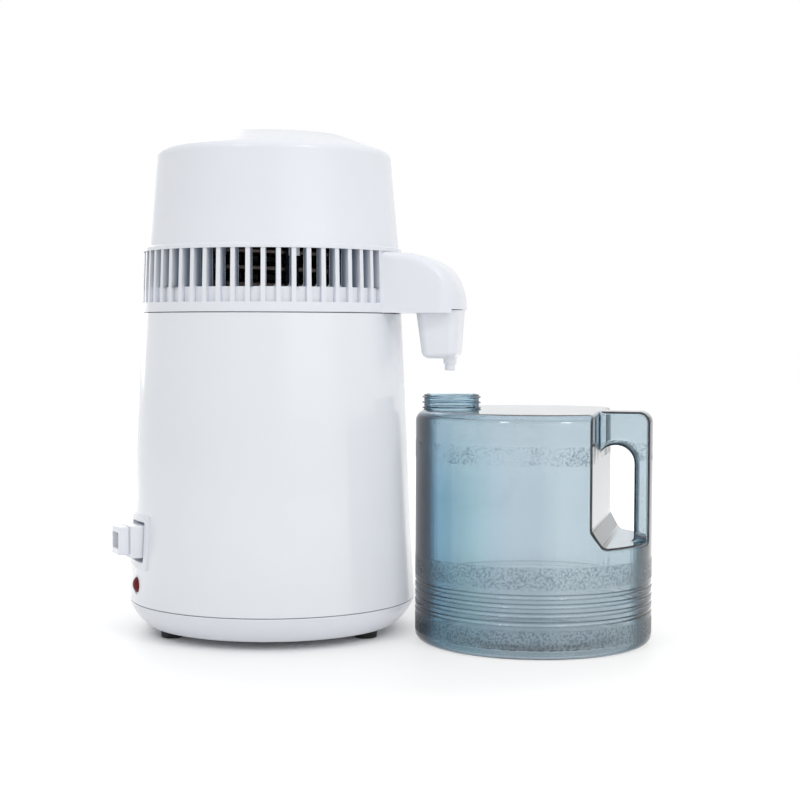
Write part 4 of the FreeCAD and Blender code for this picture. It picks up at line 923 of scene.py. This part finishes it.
@dataclass
class Assembly:
    """Pieces that are drawn in millimetres about one upright axis."""

    finishes: Finishes
    axis: Matrix

    def keep(
        self, mesh: Mesh, name: str, slot: Slot, body: Body, node: str, finish: Finish | None = None
    ) -> None:
        """Carry a mesh to its place, dress it and let it stand for a CAD node.

        Args:
            mesh: the mesh; it is freed.
            name: the piece's name.
            slot: the record's slot of its finish.
            body: the body that it moves with.
            node: the CAD node that it stands for.
            finish: a finish of its own, where it isn't the slot's.
        """
        self.finishes.dress(finished(mesh, name, self.axis), slot, body, node, finish)


# ------------------------------------------------------------------ standing body


@dataclass
class Stand(Assembly):
    """The tapered shell on its skirt, with the feet, the boiling tank and the rear controls."""

    body_radius: float = 110.0
    top_radius: float = 99.4
    seam: float = 25.0
    seam_gap: float = 0.6
    shell_top: float = 243.8
    wall: float = 2.0
    skirt_radius: float = 95.8
    foot_height: float = 6.0
    rear: float = 218.0
    inlet_height: float = 73.0
    # the inlet's cut-out: from which height to which, and half its width
    window: tuple[float, float, float] = (56.0, 90.0, 16.5)
    bezel_half: float = 19.5
    bezel_span: float = 21.4
    button_height: float = 40.0
    button_hole: float = 7.3
    socket_height: float = 214.0
    socket_hole: float = 8.0
    vents: int = 8
    # where the feet and the tank's studs stand: directions in degrees, and distance from the axis
    feet_at: tuple[int, ...] = (223, 343, 103)
    feet_out: float = 84.0
    studs_at: tuple[int, ...] = (30, 150, 270)
    studs_out: float = 28.0

    def build(self) -> None:
        """Make and dress every piece of the standing body."""
        self.shell()
        self.skirt()
        self.feet()
        self.tank()
        self.collar()
        self.bezel()
        self.shroud()
        self.button()

    @property
    def outward(self) -> Matrix:
        """Turns +X to the outward direction of the rear controls."""
        return around(self.rear)

    def drill(self, radius: float, height: float, turn: float) -> Mesh:
        """A level cylinder from inside the shell outwards, for a round cut-out.

        Args:
            radius: its radius.
            height: height of its axis.
            turn: direction it points in, in degrees.

        Returns:
            The cutting mesh.
        """
        return level(level(rod(radius, 50.0, 48), lying(105.0, height)), around(turn))

    def shell(self) -> None:
        """The enamelled shell, one cone with its rear cut-outs."""
        bottom = self.seam + self.seam_gap
        outline = Outline(self.body_radius - self.wall, bottom, 0.3).to(self.body_radius, bottom, 0.5)
        outline.to(self.top_radius, self.shell_top, 0.5).to(self.top_radius - self.wall, self.shell_top, 0.3)
        low, high, half = self.window
        mesh = cut(
            outline.spun(),
            level(block((85.0, -half, low), (120.0, half, high)), self.outward),
            self.drill(self.button_hole, self.button_height, self.rear),
            self.drill(self.socket_hole, self.socket_height, 180.0),
        )
        self.keep(mesh, "shell", Slot.WHITE_ENAMEL, Body.STAND, "outer_shell")

    def skirt(self) -> None:
        """The moulded bottom with its bowed skirt and floor vents."""
        floor = self.foot_height + 2.5
        outline = Outline(0.0, self.foot_height).to(self.skirt_radius, self.foot_height, 1.2)
        outline.bow(self.body_radius, self.seam - 0.5, 45.0).to(self.body_radius - 0.4, self.seam)
        outline.to(107.0, self.seam).to(107.0, 30.6, 0.4).to(105.0, 30.6, 0.4).to(105.0, 23.0)
        outline.bow(94.2, floor, -42.5).to(0.0, floor)
        mesh = outline.spun(closed=False)
        vents = [
            level(block((22.0, -1.6, 4.0), (48.0, 1.6, 12.0), 1.5), around(360.0 * i / self.vents))
            for i in range(self.vents)
        ]
        self.keep(cut(mesh, joined(vents)), "skirt", Slot.WHITE_PLASTIC, Body.STAND, "base_tray")

    def feet(self) -> None:
        """Three moulded feet with a worn, rounded edge."""
        feet = []
        for turn in self.feet_at:
            outline = Outline(0.0, 0.0).to(8.4, 0.0, 1.0).to(8.9, 6.0)
            outline.to(2.9, 6.0).to(2.9, 10.0, 0.5).to(0.0, 10.0)
            feet.append(level(outline.spun(48, closed=False), around(turn, self.feet_out)))
        self.keep(joined(feet), "feet", Slot.BLACK_RUBBER, Body.STAND, "rubber_feet")

    def tank(self) -> None:
        """The deep-drawn tank with its rolled rim and the three studs that hold the heater."""
        outline = Outline(0.0, 67.5).to(80.0, 67.5).bow(91.0, 78.5, 11.0).to(91.0, 239.6)
        outline.to(94.4, 239.6).bow(94.4, 243.0, 1.72, 20.0).to(92.0, 243.0).bow(90.0, 241.0, 2.01, 20.0)
        outline.to(90.0, 78.5).bow(80.0, 68.5, -10.0).to(0.0, 68.5)
        parts = [outline.spun(closed=False)]
        for turn in self.studs_at:
            stud = Outline(0.0, 56.0).to(2.0, 56.0, 0.3).to(2.0, 67.6).spun(24, closed=False)
            parts.append(level(stud, around(turn, self.studs_out)))
        self.keep(joined(parts), "tank", Slot.STAINLESS, Body.STAND, "boiling_tank")

    def collar(self) -> None:
        """The moulded ring between the tank's rim and the shell."""
        outline = Outline(91.3, 232.0).to(97.3, 232.0, 0.4).to(97.3, 243.8, 0.3).to(96.4, 243.8, 0.3)
        outline.to(96.4, 239.6).to(91.3, 239.6)
        self.keep(outline.spun(), "collar", Slot.GREY_PLASTIC, Body.STAND, "tank_collar")

    def slope(self, height: float) -> float:
        """The shell's outer radius at a height."""
        low = self.seam + self.seam_gap
        share = (height - low) / (self.shell_top - low)
        return self.body_radius - (self.body_radius - self.top_radius) * share

    def bezel(self) -> None:
        """The square frame round the inlet, which follows the shell, with its recessed tub."""
        low, high = self.inlet_height - self.bezel_half, self.inlet_height + self.bezel_half
        plate = bmesh.new()
        corners = [(self.slope(z) + out, 0.0, z) for z, out in ((low, -0.6), (low, 1.4), (high, 1.4), (high, -0.6))]
        face = plate.faces.new([plate.verts.new(corner) for corner in corners])
        level(plate, around(-self.bezel_span / 2))
        bmesh.ops.spin(
            plate, geom=[face, *face.edges, *face.verts], cent=(0, 0, 0), axis=(0, 0, 1),
            angle=math.radians(self.bezel_span), steps=12,
        )
        bmesh.ops.holes_fill(plate, edges=plate.edges)
        bmesh.ops.recalc_face_normals(plate, faces=plate.faces)
        front = self.slope(self.inlet_height) - 0.3
        tub = block((91.0, -16.3, self.inlet_height - 16.8), (front, 16.3, self.inlet_height + 16.8))
        hollow = level(block((-15.0, -14.5, 93.0), (15.0, 14.5, 125.0), 1.5), lying(0.0, self.inlet_height))
        mesh = cut(combined(plate, tub, "UNION"), hollow)
        bmesh.ops.dissolve_limit(mesh, angle_limit=math.radians(0.5), verts=mesh.verts, edges=mesh.edges)
        outer = [e for e in sharp_edges(mesh, 50) if min(v.co.xy.length for v in e.verts) > self.slope(high)]
        round_edges(mesh, outer, 0.5)
        self.keep(level(mesh, self.outward), "bezel", Slot.WHITE_PLASTIC, Body.STAND, "inlet_bezel")

    def shroud(self) -> None:
        """The stepped inlet: a block, a narrow neck and an outer lip, bored for the lead's connector."""
        middle, tip = self.inlet_height + 1.5, 125.5
        base = block((93.0, -12.5, self.inlet_height - 11.5), (117.2, 12.5, self.inlet_height + 12.5))
        round_edges(base, base.edges[:], 0.8)
        neck = block((116.0, -9.0, middle - 9.5), (118.7, 9.0, middle + 9.5))
        lip = block((118.0, -10.0, middle - 10.5), (tip, 10.0, middle + 10.5))
        round_edges(lip, lip.edges[:], 0.7)
        mesh = combined(combined(base, neck, "UNION"), lip, "UNION")
        mesh = cut(mesh, block((107.0, -7.6, middle - 6.0), (130.0, 7.6, middle + 6.0)))
        mouth = [e for e in sharp_edges(mesh, 60) if all(abs(v.co.x - tip) < 0.01 for v in e.verts)]
        round_edges(mesh, mouth, 0.4)
        self.keep(level(mesh, self.outward), "inlet", Slot.WHITE_PLASTIC, Body.STAND, "inlet_shroud")

    def button(self) -> None:
        """The red domed reset button on its plunger."""
        outline = Outline(0.0, 112.3).bow(5.75, 109.8, -7.9, 4.0).to(5.75, 103.0).to(2.0, 103.0).to(2.0, 88.0)
        outline.to(0.0, 88.0)
        mesh = level(level(outline.spun(64, closed=False), lying(0.0, self.button_height)), self.outward)
        self.keep(mesh, "button", Slot.RED_PLASTIC, Body.BUTTON, "reset_button")


# ------------------------------------------------------------------ head


@dataclass
class Head(Assembly):
    """The lift-off head: grille band, spout, dome and the tank's lid."""

    bottom: float = 244.4
    radius: float = 99.8
    band_top: float = 291.8
    top_radius: float = 98.3
    inside: float = 88.6
    # a slot: its lowest point, its back with half its width, its mouth with how much wider, and the sill with its face
    slot_bottom: float = 251.6
    slot_depth: float = 90.2
    slot_half: float = 3.5
    slot_mouth: float = 104.0
    slot_flare: float = 0.6
    sill: float = 262.5
    sill_face: float = 96.0
    slots: int = 50
    slots_per_turn: int = 56
    first_slot: float = 22.5
    # directions of the pillars and of the dome's hooks, in degrees
    pillars_at: tuple[int, ...] = (57, 177, 297)
    pillars_out: float = 79.5
    # place, half width, top and edge radius of the spout's sections, from the band to the tip
    stations: tuple[tuple[float, float, float, float], ...] = (
        (91.0, 32.0, 289.9, 4.0),
        (104.0, 30.9, 289.4, 6.0),
        (118.0, 29.7, 288.0, 7.0),
        (131.0, 28.6, 282.6, 8.0),
        (139.0, 27.1, 277.0, 10.0),
        (145.0, 23.0, 269.6, 11.0),
        (149.0, 16.5, 260.5, 9.0),
        (150.4, 10.5, 253.0, 6.0),
    )

    def build(self) -> None:
        """Make and dress every outer piece of the head."""
        self.housing()
        self.dome()
        self.lid()
        self.gasket()

    def band(self) -> Mesh:
        """The ring with its slots cut from outside and the windows behind them."""
        outline = Outline(97.3, self.bottom).to(self.radius, self.bottom, 0.5).to(self.top_radius, self.band_top)
        outline.to(self.inside, self.band_top).to(self.inside, 248.4, 0.5).to(58.0, 248.4, 0.4)
        outline.to(58.0, 246.0, 0.4).to(97.3, 246.0)
        mesh = outline.spun(self.slots_per_turn * 4)
        cutters = []
        for i in range(self.slots):
            turn = around(self.first_slot + 360 / self.slots_per_turn * i)
            for depth, low, high in (
                (self.slot_depth, self.sill, self.band_top + 2), (self.sill_face, self.slot_bottom, self.sill + 1)
            ):
                mouth, wide = self.slot_mouth, self.slot_half + self.slot_flare
                half = self.slot_half + self.slot_flare * (depth - self.slot_depth) / (mouth - self.slot_depth)
                slot = prism([(depth, -half), (mouth, -wide), (mouth, wide), (depth, half)], low, high)
                cutters.append(level(slot, turn))
            window = block((self.inside - 3, -3.3, self.sill), (self.slot_depth + 1, 3.3, self.band_top + 2))
            corner = [e for e in window.edges if all(v.co.z < self.sill + 1 and v.co.y > 3 for v in e.verts)]
            round_edges(window, corner, 3.2, 4)
            cutters.append(level(window, turn))
        return combined(mesh, joined(cutters), "DIFFERENCE", crossing=True)

    def section(self, mesh: Mesh, place: Vector, edge: float, low: float) -> list[Edge]:
        """Draw one section of the spout.

        Args:
            mesh: the mesh it goes into.
            place: how far out it stands, its half width and its top.
            edge: radius of its two upper edges.
            low: height of its underside.

        Returns:
            The edges of its loop.
        """
        out, half, top = place
        corners = [mesh.verts.new((out, y, z)) for y, z in ((-half, low), (half, low), (half, top), (-half, top))]
        for i in range(4):
            mesh.edges.new((corners[i], corners[(i + 1) % 4]))
        bmesh.ops.bevel(
            mesh, geom=corners[2:], offset=edge, offset_type="OFFSET", segments=8, profile=0.5,
            affect="VERTICES", clamp_overlap=True, material=-1,
        )
        return [e for e in mesh.edges if all(abs(v.co.x - out) < 1e-4 for v in e.verts)]

    def spout(self, inset: float, low: float) -> Mesh:
        """The spout's form, a smooth loft through its sections.

        Args:
            inset: how far inside the outer form it lies.
            low: height of its underside.

        Returns:
            A closed mesh.
        """
        knots = [Vector((x - inset, half - inset, top - inset)) for x, half, top, _ in self.stations]
        bends = [Vector((x, edge - 0.6 * inset, 0.0)) for x, _, _, edge in self.stations]
        mesh = bmesh.new()
        loops: list[list[Edge]] = []
        for i in range(len(knots) - 1):
            places, edges = smooth_span(knots, i), smooth_span(bends, i)
            for place, bend in list(zip(places, edges))[: None if i == len(knots) - 2 else -1]:
                loops.append(self.section(mesh, place, bend.y, low))
        for before, after in zip(loops, loops[1:]):
            bmesh.ops.bridge_loops(mesh, edges=before + after)
        bmesh.ops.holes_fill(mesh, edges=mesh.edges)
        bmesh.ops.recalc_face_normals(mesh, faces=mesh.faces)
        return mesh

    def housing(self) -> None:
        """Band, grille and spout as the one moulding that they are."""
        seat = Outline(0.0, 239.0).to(97.3, 239.0).to(97.3, 246.0).to(0.0, 246.0).spun(closed=False)
        mesh = cut(
            combined(self.band(), self.spout(0.0, self.bottom), "UNION"),
            self.spout(2.5, 245.5),
            block((113.0, -19.4, 240.0), (156.0, 19.4, 246.0)),
            block((141.0, -23.0, 240.0), (156.0, 23.0, 247.2)),
            seat,
            block((82.6, -16.0, self.slot_bottom), (103.0, 16.0, 281.9)),
        )
        parts = [mesh]
        for turn in self.pillars_at:
            pillar = Outline(1.6, 248.0).to(5.0, 248.0).to(4.7, 314.0, 0.3).to(1.6, 314.0, 0.3).spun(32)
            parts.append(level(pillar, around(turn, self.pillars_out)))
        middle = self.axis.to_translation().xy[:]
        # the band's slots get painted shade, darker towards the axis
        shade_painted_vents = ShadePaintedVents("vent_abs_painted_shade", *WHITE_ABS, middle=middle)
        self.keep(joined(parts), "head_band", Slot.WHITE_PLASTIC, Body.HEAD, "head_housing", shade_painted_vents)

    def dome(self) -> None:
        """The tapered cover with its rolled shoulder, sloped crown and flat top."""
        outline = Outline(88.9, 291.8).to(98.6, 291.8).to(98.6, 290.2, 0.2).to(99.3, 290.2, 0.25)
        outline.to(99.3, 293.0, 0.4).to(97.0, 293.9, 0.5)
        outline.to(91.0, 361.0).bow(86.0, 367.9, 6.5).to(56.5, 378.8).bow(47.0, 380.0, 45.0).to(0.0, 380.0)
        skin = Outline(0.0, 377.8).to(47.0, 377.8).bow(55.9, 376.6, -42.8).to(85.2, 365.7)
        skin.bow(88.8, 361.0, -4.5).to(94.8, 294.0).to(88.9, 294.0)
        mesh = joined([outline.spun(closed=False), skin.spun(closed=False)])
        bmesh.ops.bridge_loops(mesh, edges=[e for e in mesh.edges if e.is_boundary])
        hooks = []
        for turn in self.pillars_at:
            hook = block((self.inside - 1.8, -4.0, 284.8), (self.inside - 0.3, 4.0, 294.0))
            round_edges(hook, hook.edges[:], 0.3, 2)
            bridge = block((self.inside - 1.8, -4.0, 292.0), (self.inside + 3.2, 4.0, 294.0))
            hooks += [level(part, around(turn)) for part in (hook, bridge)]
        self.keep(joined([mesh, *hooks]), "dome", Slot.WHITE_PLASTIC, Body.HEAD, "dome_cover")

    def lid(self) -> None:
        """The pressed lid that closes the tank, pierced for the steam pipe."""
        outline = Outline(0.0, 254.6).to(43.0, 254.6, 2.0).to(55.0, 244.9, 2.0).to(88.3, 244.9).to(88.3, 245.9)
        outline.to(55.6, 245.9, 2.0).to(43.6, 255.6, 2.0).to(0.0, 255.6)
        hole = level(rod(5.05, 6.0, 32), Matrix.Translation((-34.0, 14.0, 255.0)))
        self.keep(cut(outline.spun(closed=False), hole), "lid", Slot.STAINLESS, Body.HEAD, "tank_lid")

    def gasket(self) -> None:
        """The soft ring that closes on the tank's rim."""
        outline = Outline(90.2, 246.0).to(90.2, 244.8, 0.3).to(92.2, 243.35, 0.4).to(95.9, 243.35, 0.4)
        outline.to(95.9, 246.0)
        self.keep(outline.spun(), "gasket", Slot.SILICONE, Body.HEAD, "lid_gasket")


def smooth_span(knots: list[Vector], index: int, steps: int = 6) -> list[Vector]:
    """Points of a smooth curve through knots, between one knot and the next.

    Args:
        knots: the knots.
        index: which knot the span starts from.
        steps: how many edges the span has.

    Returns:
        The span's points, both ends included.
    """
    start, end = knots[index], knots[index + 1]
    before = knots[index - 1] if index else start
    after = knots[index + 2] if index + 2 < len(knots) else end
    return interpolate_bezier(start, start + (end - before) / 6, end - (after - start) / 6, end, steps + 1)


# ------------------------------------------------------------------ filter cup


@dataclass
class Cup(Assembly):
    """The tapered cup under the spout, with its nozzle and the carbon sachet inside."""

    top: float = 246.7
    bottom: float = 210.2
    wall: float = 1.8
    nozzle_out: float = 139.6
    # how much narrower the bottom is than the top, along X and along Y, and how far it lies towards the tip
    taper: tuple[float, float] = (0.211, 0.172)
    lean: float = 1.15

    def build(self) -> None:
        """Make and dress the cup's pieces."""
        self.cup()
        self.nozzle()
        self.sachet()

    def form(self, inset: float, low: float, bowl: float) -> Mesh:
        """The cup's tapered form between two round-cornered outlines.

        Args:
            inset: how far inside the outer form it lies.
            low: height of its bottom.
            bowl: width of the rounding round the bottom.

        Returns:
            A closed mesh.
        """
        share = (self.top - low) / (self.top - self.bottom)
        high = self.top + (0.5 if inset else 0.0)
        back, front, half = 115.7 + inset, 148.9 - inset, 18.9 - inset
        mesh = bmesh.new()
        corners = ((back, -half), (front, -half), (front, half), (back, half))
        flat = mesh.faces.new([mesh.verts.new((x, y, high)) for x, y in corners])
        bmesh.ops.bevel(
            mesh, geom=flat.verts[:], offset=8.0 - inset, offset_type="OFFSET", segments=8, profile=0.5,
            affect="VERTICES", material=-1,
        )
        made = bmesh.ops.extrude_face_region(mesh, geom=mesh.faces[:])["geom"]
        moved = [item for item in made if isinstance(item, bmesh.types.BMVert)]
        middle = Vector(((back + front) / 2, 0.0, high))
        deep = Vector((middle.x + self.lean * share, 0.0, low))
        narrow = (1 - self.taper[0] * share, 1 - self.taper[1] * share, 1.0)
        bmesh.ops.translate(mesh, verts=moved, vec=-middle)
        bmesh.ops.scale(mesh, verts=moved, vec=narrow)
        bmesh.ops.translate(mesh, verts=moved, vec=deep)
        rim = [e for e in mesh.edges if all(abs(v.co.z - low) < 0.01 for v in e.verts)]
        round_edges(mesh, rim, bowl, 8)
        bmesh.ops.recalc_face_normals(mesh, faces=mesh.faces)
        return mesh

    def cup(self) -> None:
        """The cup with the two flanges it hangs by and the collar round the nozzle."""
        flange = block((116.7, -22.0, 245.7), (140.9, 22.0, self.top), 2.0)
        mesh = combined(self.form(0.0, self.bottom, 5.0), flange, "UNION")
        collar = Outline(0.0, 206.1).to(4.9, 206.1, 0.4).to(5.3, 212.0).to(0.0, 212.0).spun(40, closed=False)
        mesh = combined(mesh, level(collar, around(0.0, self.nozzle_out)), "UNION")
        bore = level(rod(3.9, 20.0, 40), Matrix.Translation((self.nozzle_out, 0.0, 208.0)))
        mesh = cut(mesh, self.form(self.wall, 212.4, 3.2), bore)
        self.keep(mesh, "cup", Slot.WHITE_PLASTIC, Body.CUP, "filter_cup")

    def nozzle(self) -> None:
        """The short outlet tube with a rounded tip."""
        outline = Outline(2.0, 201.1, 0.3).to(3.9, 201.1, 0.9).to(3.9, 213.2, 0.3).to(2.0, 213.2, 0.3)
        mesh = level(outline.spun(48), around(0.0, self.nozzle_out))
        self.keep(mesh, "nozzle", Slot.WHITE_PLASTIC, Body.CUP, "outlet_nozzle")

    def sachet(self) -> None:
        """The carbon sachet: a small pillow of cloth with a welded edge, filled with grains."""
        low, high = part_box("carbon_sachet")
        middle, size = (low + high) / 2, high - low
        mesh = bmesh.new()
        bmesh.ops.create_grid(mesh, x_segments=28, y_segments=28, size=0.5)
        bmesh.ops.solidify(mesh, geom=mesh.faces[:], thickness=0.04)
        for vert in mesh.verts:
            crown = max(0.0, (1 - (2 * vert.co.x) ** 4) * (1 - (2 * vert.co.y) ** 4))
            grains = 0.03 * math.sin(31 * vert.co.x + 2) * math.cos(27 * vert.co.y)
            vert.co.z = math.copysign(0.03 + (0.42 + grains) * crown**0.6, vert.co.z + 1e-4) * 0.98
        fit = Matrix.Diagonal((size.y * 0.68, size.y * 0.68, size.z, 1.0))
        bmesh.ops.transform(mesh, matrix=Matrix.Translation(middle) @ fit, verts=mesh.verts)
        bmesh.ops.recalc_face_normals(mesh, faces=mesh.faces)
        piece = loose(mesh, "sachet")
        piece.data.shade_smooth()
        self.finishes.dress(piece, Slot.CARBON_CLOTH, Body.CUP, "carbon_sachet")


# ------------------------------------------------------------------ jug


@dataclass
class Jug:
    """The blown jug: one even wall round a barrel, with a hollow handle and a threaded neck."""

    finishes: Finishes
    # the smallest of the handle's flat faces, in square millimetres
    flat_area: float = 60.0

    def build(self) -> None:
        """Make and dress the jug."""
        piece = smooth_copy("jug", "jug_body", flats=self.flat_area)
        # soft light falls through the clear wall onto what stands beside it
        piece.visible_diffuse = False
        self.finishes.dress(piece, Slot.BLUE_CLEAR, Body.JUG, "jug")


# ------------------------------------------------------------------ what stays from the frame


class Inner:
    """The pieces inside, which keep the frame's shapes and get smooth shading and their real finishes, save the
    condenser's, which are painted dark as shade.
    """

    # the condenser sits in the dark behind the slots: painted shade makes its fins near black and its coil and pipe a
    # dull, dark brown
    PAINTED_SHADE = {
        "condenser_fins": Finish("fins_painted_shade", "#141A21", "#10151B", 0.5, 0.1, 0.6, 0.01, 1.5),
        "condenser_coil": Drawn("coil_painted_shade", "#5E5553", "#4A4443", 0.25, 0.1, 0.3, 0.004, metallic=1.0),
        "distillate_pipe": Drawn("pipe_painted_shade", "#5E5553", "#4A4443", 0.25, 0.1, 0.3, 0.004, metallic=1.0),
    }
    ROUND = {
        "condenser_coil": (Slot.STAINLESS, Body.HEAD),
        "steam_riser": (Slot.STAINLESS, Body.HEAD),
        "distillate_pipe": (Slot.STAINLESS, Body.HEAD),
        "condenser_fins": (Slot.ALUMINIUM, Body.HEAD),
        "fan_rotor": (Slot.WHITE_PLASTIC, Body.FAN),
        "fan_shaft": (Slot.STAINLESS, Body.FAN),
        "reset_spring": (Slot.ZINC_STEEL, Body.STAND),
        "heater_plate": (Slot.ALUMINIUM, Body.STAND),
        "tank_cradle": (Slot.ZINC_STEEL, Body.STAND),
        "fan_socket": (Slot.GREY_PLASTIC, Body.STAND),
        "fan_lead_gland": (Slot.BLACK_RUBBER, Body.HEAD),
        "reset_guide": (Slot.WHITE_PLASTIC, Body.STAND),
    }

    def __init__(self, finishes: Finishes, frame: dict) -> None:
        """Keep the finishes and the frame's nodes and slots.

        Args:
            finishes: the set's finishes.
        """
        self.finishes = finishes
        self.nodes = frame["nodes"]
        self.slots = {row["node"]: row["material_slot"] for row in frame["record"]["subparts"]}

    def build(self) -> None:
        """Smooth the round pieces and dress the plain ones."""
        for node, (slot, body) in self.ROUND.items():
            # the condenser's pieces take finishes in painted shade
            self.finishes.dress(smooth_copy(node, node + "_smooth"), slot, body, node, self.PAINTED_SHADE.get(node))
        for node, item in self.nodes.items():
            if item.hide_render:
                continue
            item.data.materials.clear()
            item.data.materials.append(self.finishes.materials[Slot(self.slots[node])])
            log.info("%-18s keeps its shape", node)


# ------------------------------------------------------------------ stage


@dataclass
class Studio:
    """A pale floor, soft lamps, a white surround and the camera."""

    focal_pixels: float = 1608.0
    picture: int = 800
    sensor: float = 36.0
    camera_place: tuple[float, float, float] = (0.2758, -1.1966, 0.2297)
    turned: float = math.radians(17.0)
    yaw: float = 0.0789
    pitch: float = 0.04195
    roll: float = 0.0032
    horizon: float = 0.6
    zenith: float = 0.78
    # the floor's colour for light, and for the eye near the set and far from it, with the distances in metres
    floor_colour: float = 0.9
    near_shown: float = 1.06
    far_shown: float = 1.5
    near: float = 0.2
    far: float = 0.5

    def build(self) -> None:
        """Make the floor, the surround, the lamps and the camera."""
        self.floor()
        self.world()
        self.lamps()
        self.camera()
        bpy.context.scene.view_settings.view_transform = "Standard"

    def floor(self) -> None:
        """A wide pale floor that takes the set's shadow."""
        mesh = bmesh.new()
        bmesh.ops.create_grid(mesh, x_segments=1, y_segments=1, size=6.0)
        floor = loose(mesh, "floor")
        material = bpy.data.materials.new("pale_floor")
        material.use_nodes = True
        tree = material.node_tree
        shader = tree.nodes["Principled BSDF"]
        pale = (self.floor_colour,) * 3 + (1.0,)
        place = add(tree, "TexCoord").outputs["Object"]
        away = vectors(tree, "LENGTH", place)["Value"]
        white = spread(tree, away, (self.near, self.far), (self.near_shown, self.far_shown))
        tree.links.new(mixed(tree, self.seen(tree), pale, white), shader.inputs["Base Color"])
        shader.inputs["Roughness"].default_value = 0.5
        shader.inputs["Specular IOR Level"].default_value = 0.2
        floor.data.materials.append(material)

    def seen(self, tree: Tree) -> Socket:
        """One for a ray that the eye follows, straight, mirrored or through clear plastic, nought for light's own."""
        path = add(tree, "LightPath").outputs
        straight = maths(tree, "MAXIMUM", path["Is Camera Ray"], path["Is Transmission Ray"])
        return maths(tree, "MAXIMUM", straight, path["Is Glossy Ray"])

    def world(self) -> None:
        """A surround that is white to the eye and in reflections, and lights the set more from above."""
        world = bpy.data.worlds.new("surround")
        bpy.context.scene.world = world
        world.use_nodes = True
        tree = world.node_tree
        direction = add(tree, "TexCoord").outputs["Generated"]
        up = add(tree, "SeparateXYZ", {0: direction}).outputs["Z"]
        light = spread(tree, up, (0.0, 1.0), (self.horizon, self.zenith))
        strength = add(tree, "Mix", {"Factor": self.seen(tree), 2: light, 3: 1.0}, data_type="FLOAT")
        background = tree.nodes["Background"]
        background.inputs["Color"].default_value = WHITE
        tree.links.new(strength.outputs[0], background.inputs["Strength"])

    def lamp(self, name: str, place: tuple[float, float, float], size: float, power: float) -> None:
        """Hang a square soft lamp that looks at the distiller's middle.

        Args:
            name: its name.
            place: where it hangs, in metres.
            size: length of its side, in metres.
            power: its power, in watts.
        """
        data = bpy.data.lights.new(name, "AREA")
        data.size = size
        data.energy = power
        lamp = bpy.data.objects.new(name, data)
        lamp.location = place
        lamp.rotation_mode = "QUATERNION"
        lamp.rotation_quaternion = (Vector((0, 0, 0.2)) - Vector(place)).to_track_quat("-Z", "Y")
        bpy.context.scene.collection.objects.link(lamp)

    def lamps(self) -> None:
        """Broad lamps overhead, from the front right and from behind, and two small ones that leave glints."""
        self.lamp("key", (1.3, -1.2, 1.1), 1.6, 5.0)
        self.lamp("top", (0.1, -0.1, 2.2), 2.2, 6.0)
        self.lamp("rim", (-1.15, 1.35, 0.7), 1.0, 4.0)
        self.lamp("left_glint", (-0.45, -1.17, 1.3), 0.26, 1.8)
        self.lamp("right_glint", (1.02, -0.93, 1.3), 0.26, 2.4)

    def camera(self) -> None:
        """A long lens in front and a little above, with the distiller and the jug side by side."""
        data = bpy.data.cameras.new("camera")
        data.lens = self.sensor * self.focal_pixels / self.picture
        data.sensor_width = self.sensor
        camera = bpy.data.objects.new("camera", data)
        out = math.cos(self.pitch)
        forward = Vector((math.sin(self.yaw) * out, math.cos(self.yaw) * out, -math.sin(self.pitch)))
        forward.rotate(Matrix.Rotation(self.turned, 3, "Z"))
        camera.location = self.camera_place
        camera.rotation_mode = "QUATERNION"
        camera.rotation_quaternion = forward.to_track_quat("-Z", "Y") @ Quaternion((0, 0, 1), self.roll)
        bpy.context.scene.collection.objects.link(camera)
        bpy.context.scene.camera = camera


def main() -> None:
    """Load the frame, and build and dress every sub-assembly."""
    logging.basicConfig(level=logging.INFO, format="%(message)s")
    for item in list(bpy.data.objects):
        bpy.data.objects.remove(item)
    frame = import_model()
    spin = next(joint for joint in frame["joints"] if joint["name"] == "fan_spin")
    tower = Matrix.Translation((spin["pos_m"][0], spin["pos_m"][1], 0.0))
    finishes = Finishes()
    for part in (Stand(finishes, tower), Head(finishes, tower), Cup(finishes, tower), Jug(finishes)):
        part.build()
    Inner(finishes, frame).build()
    Studio().build()


if __name__ == "__main__":
    main()
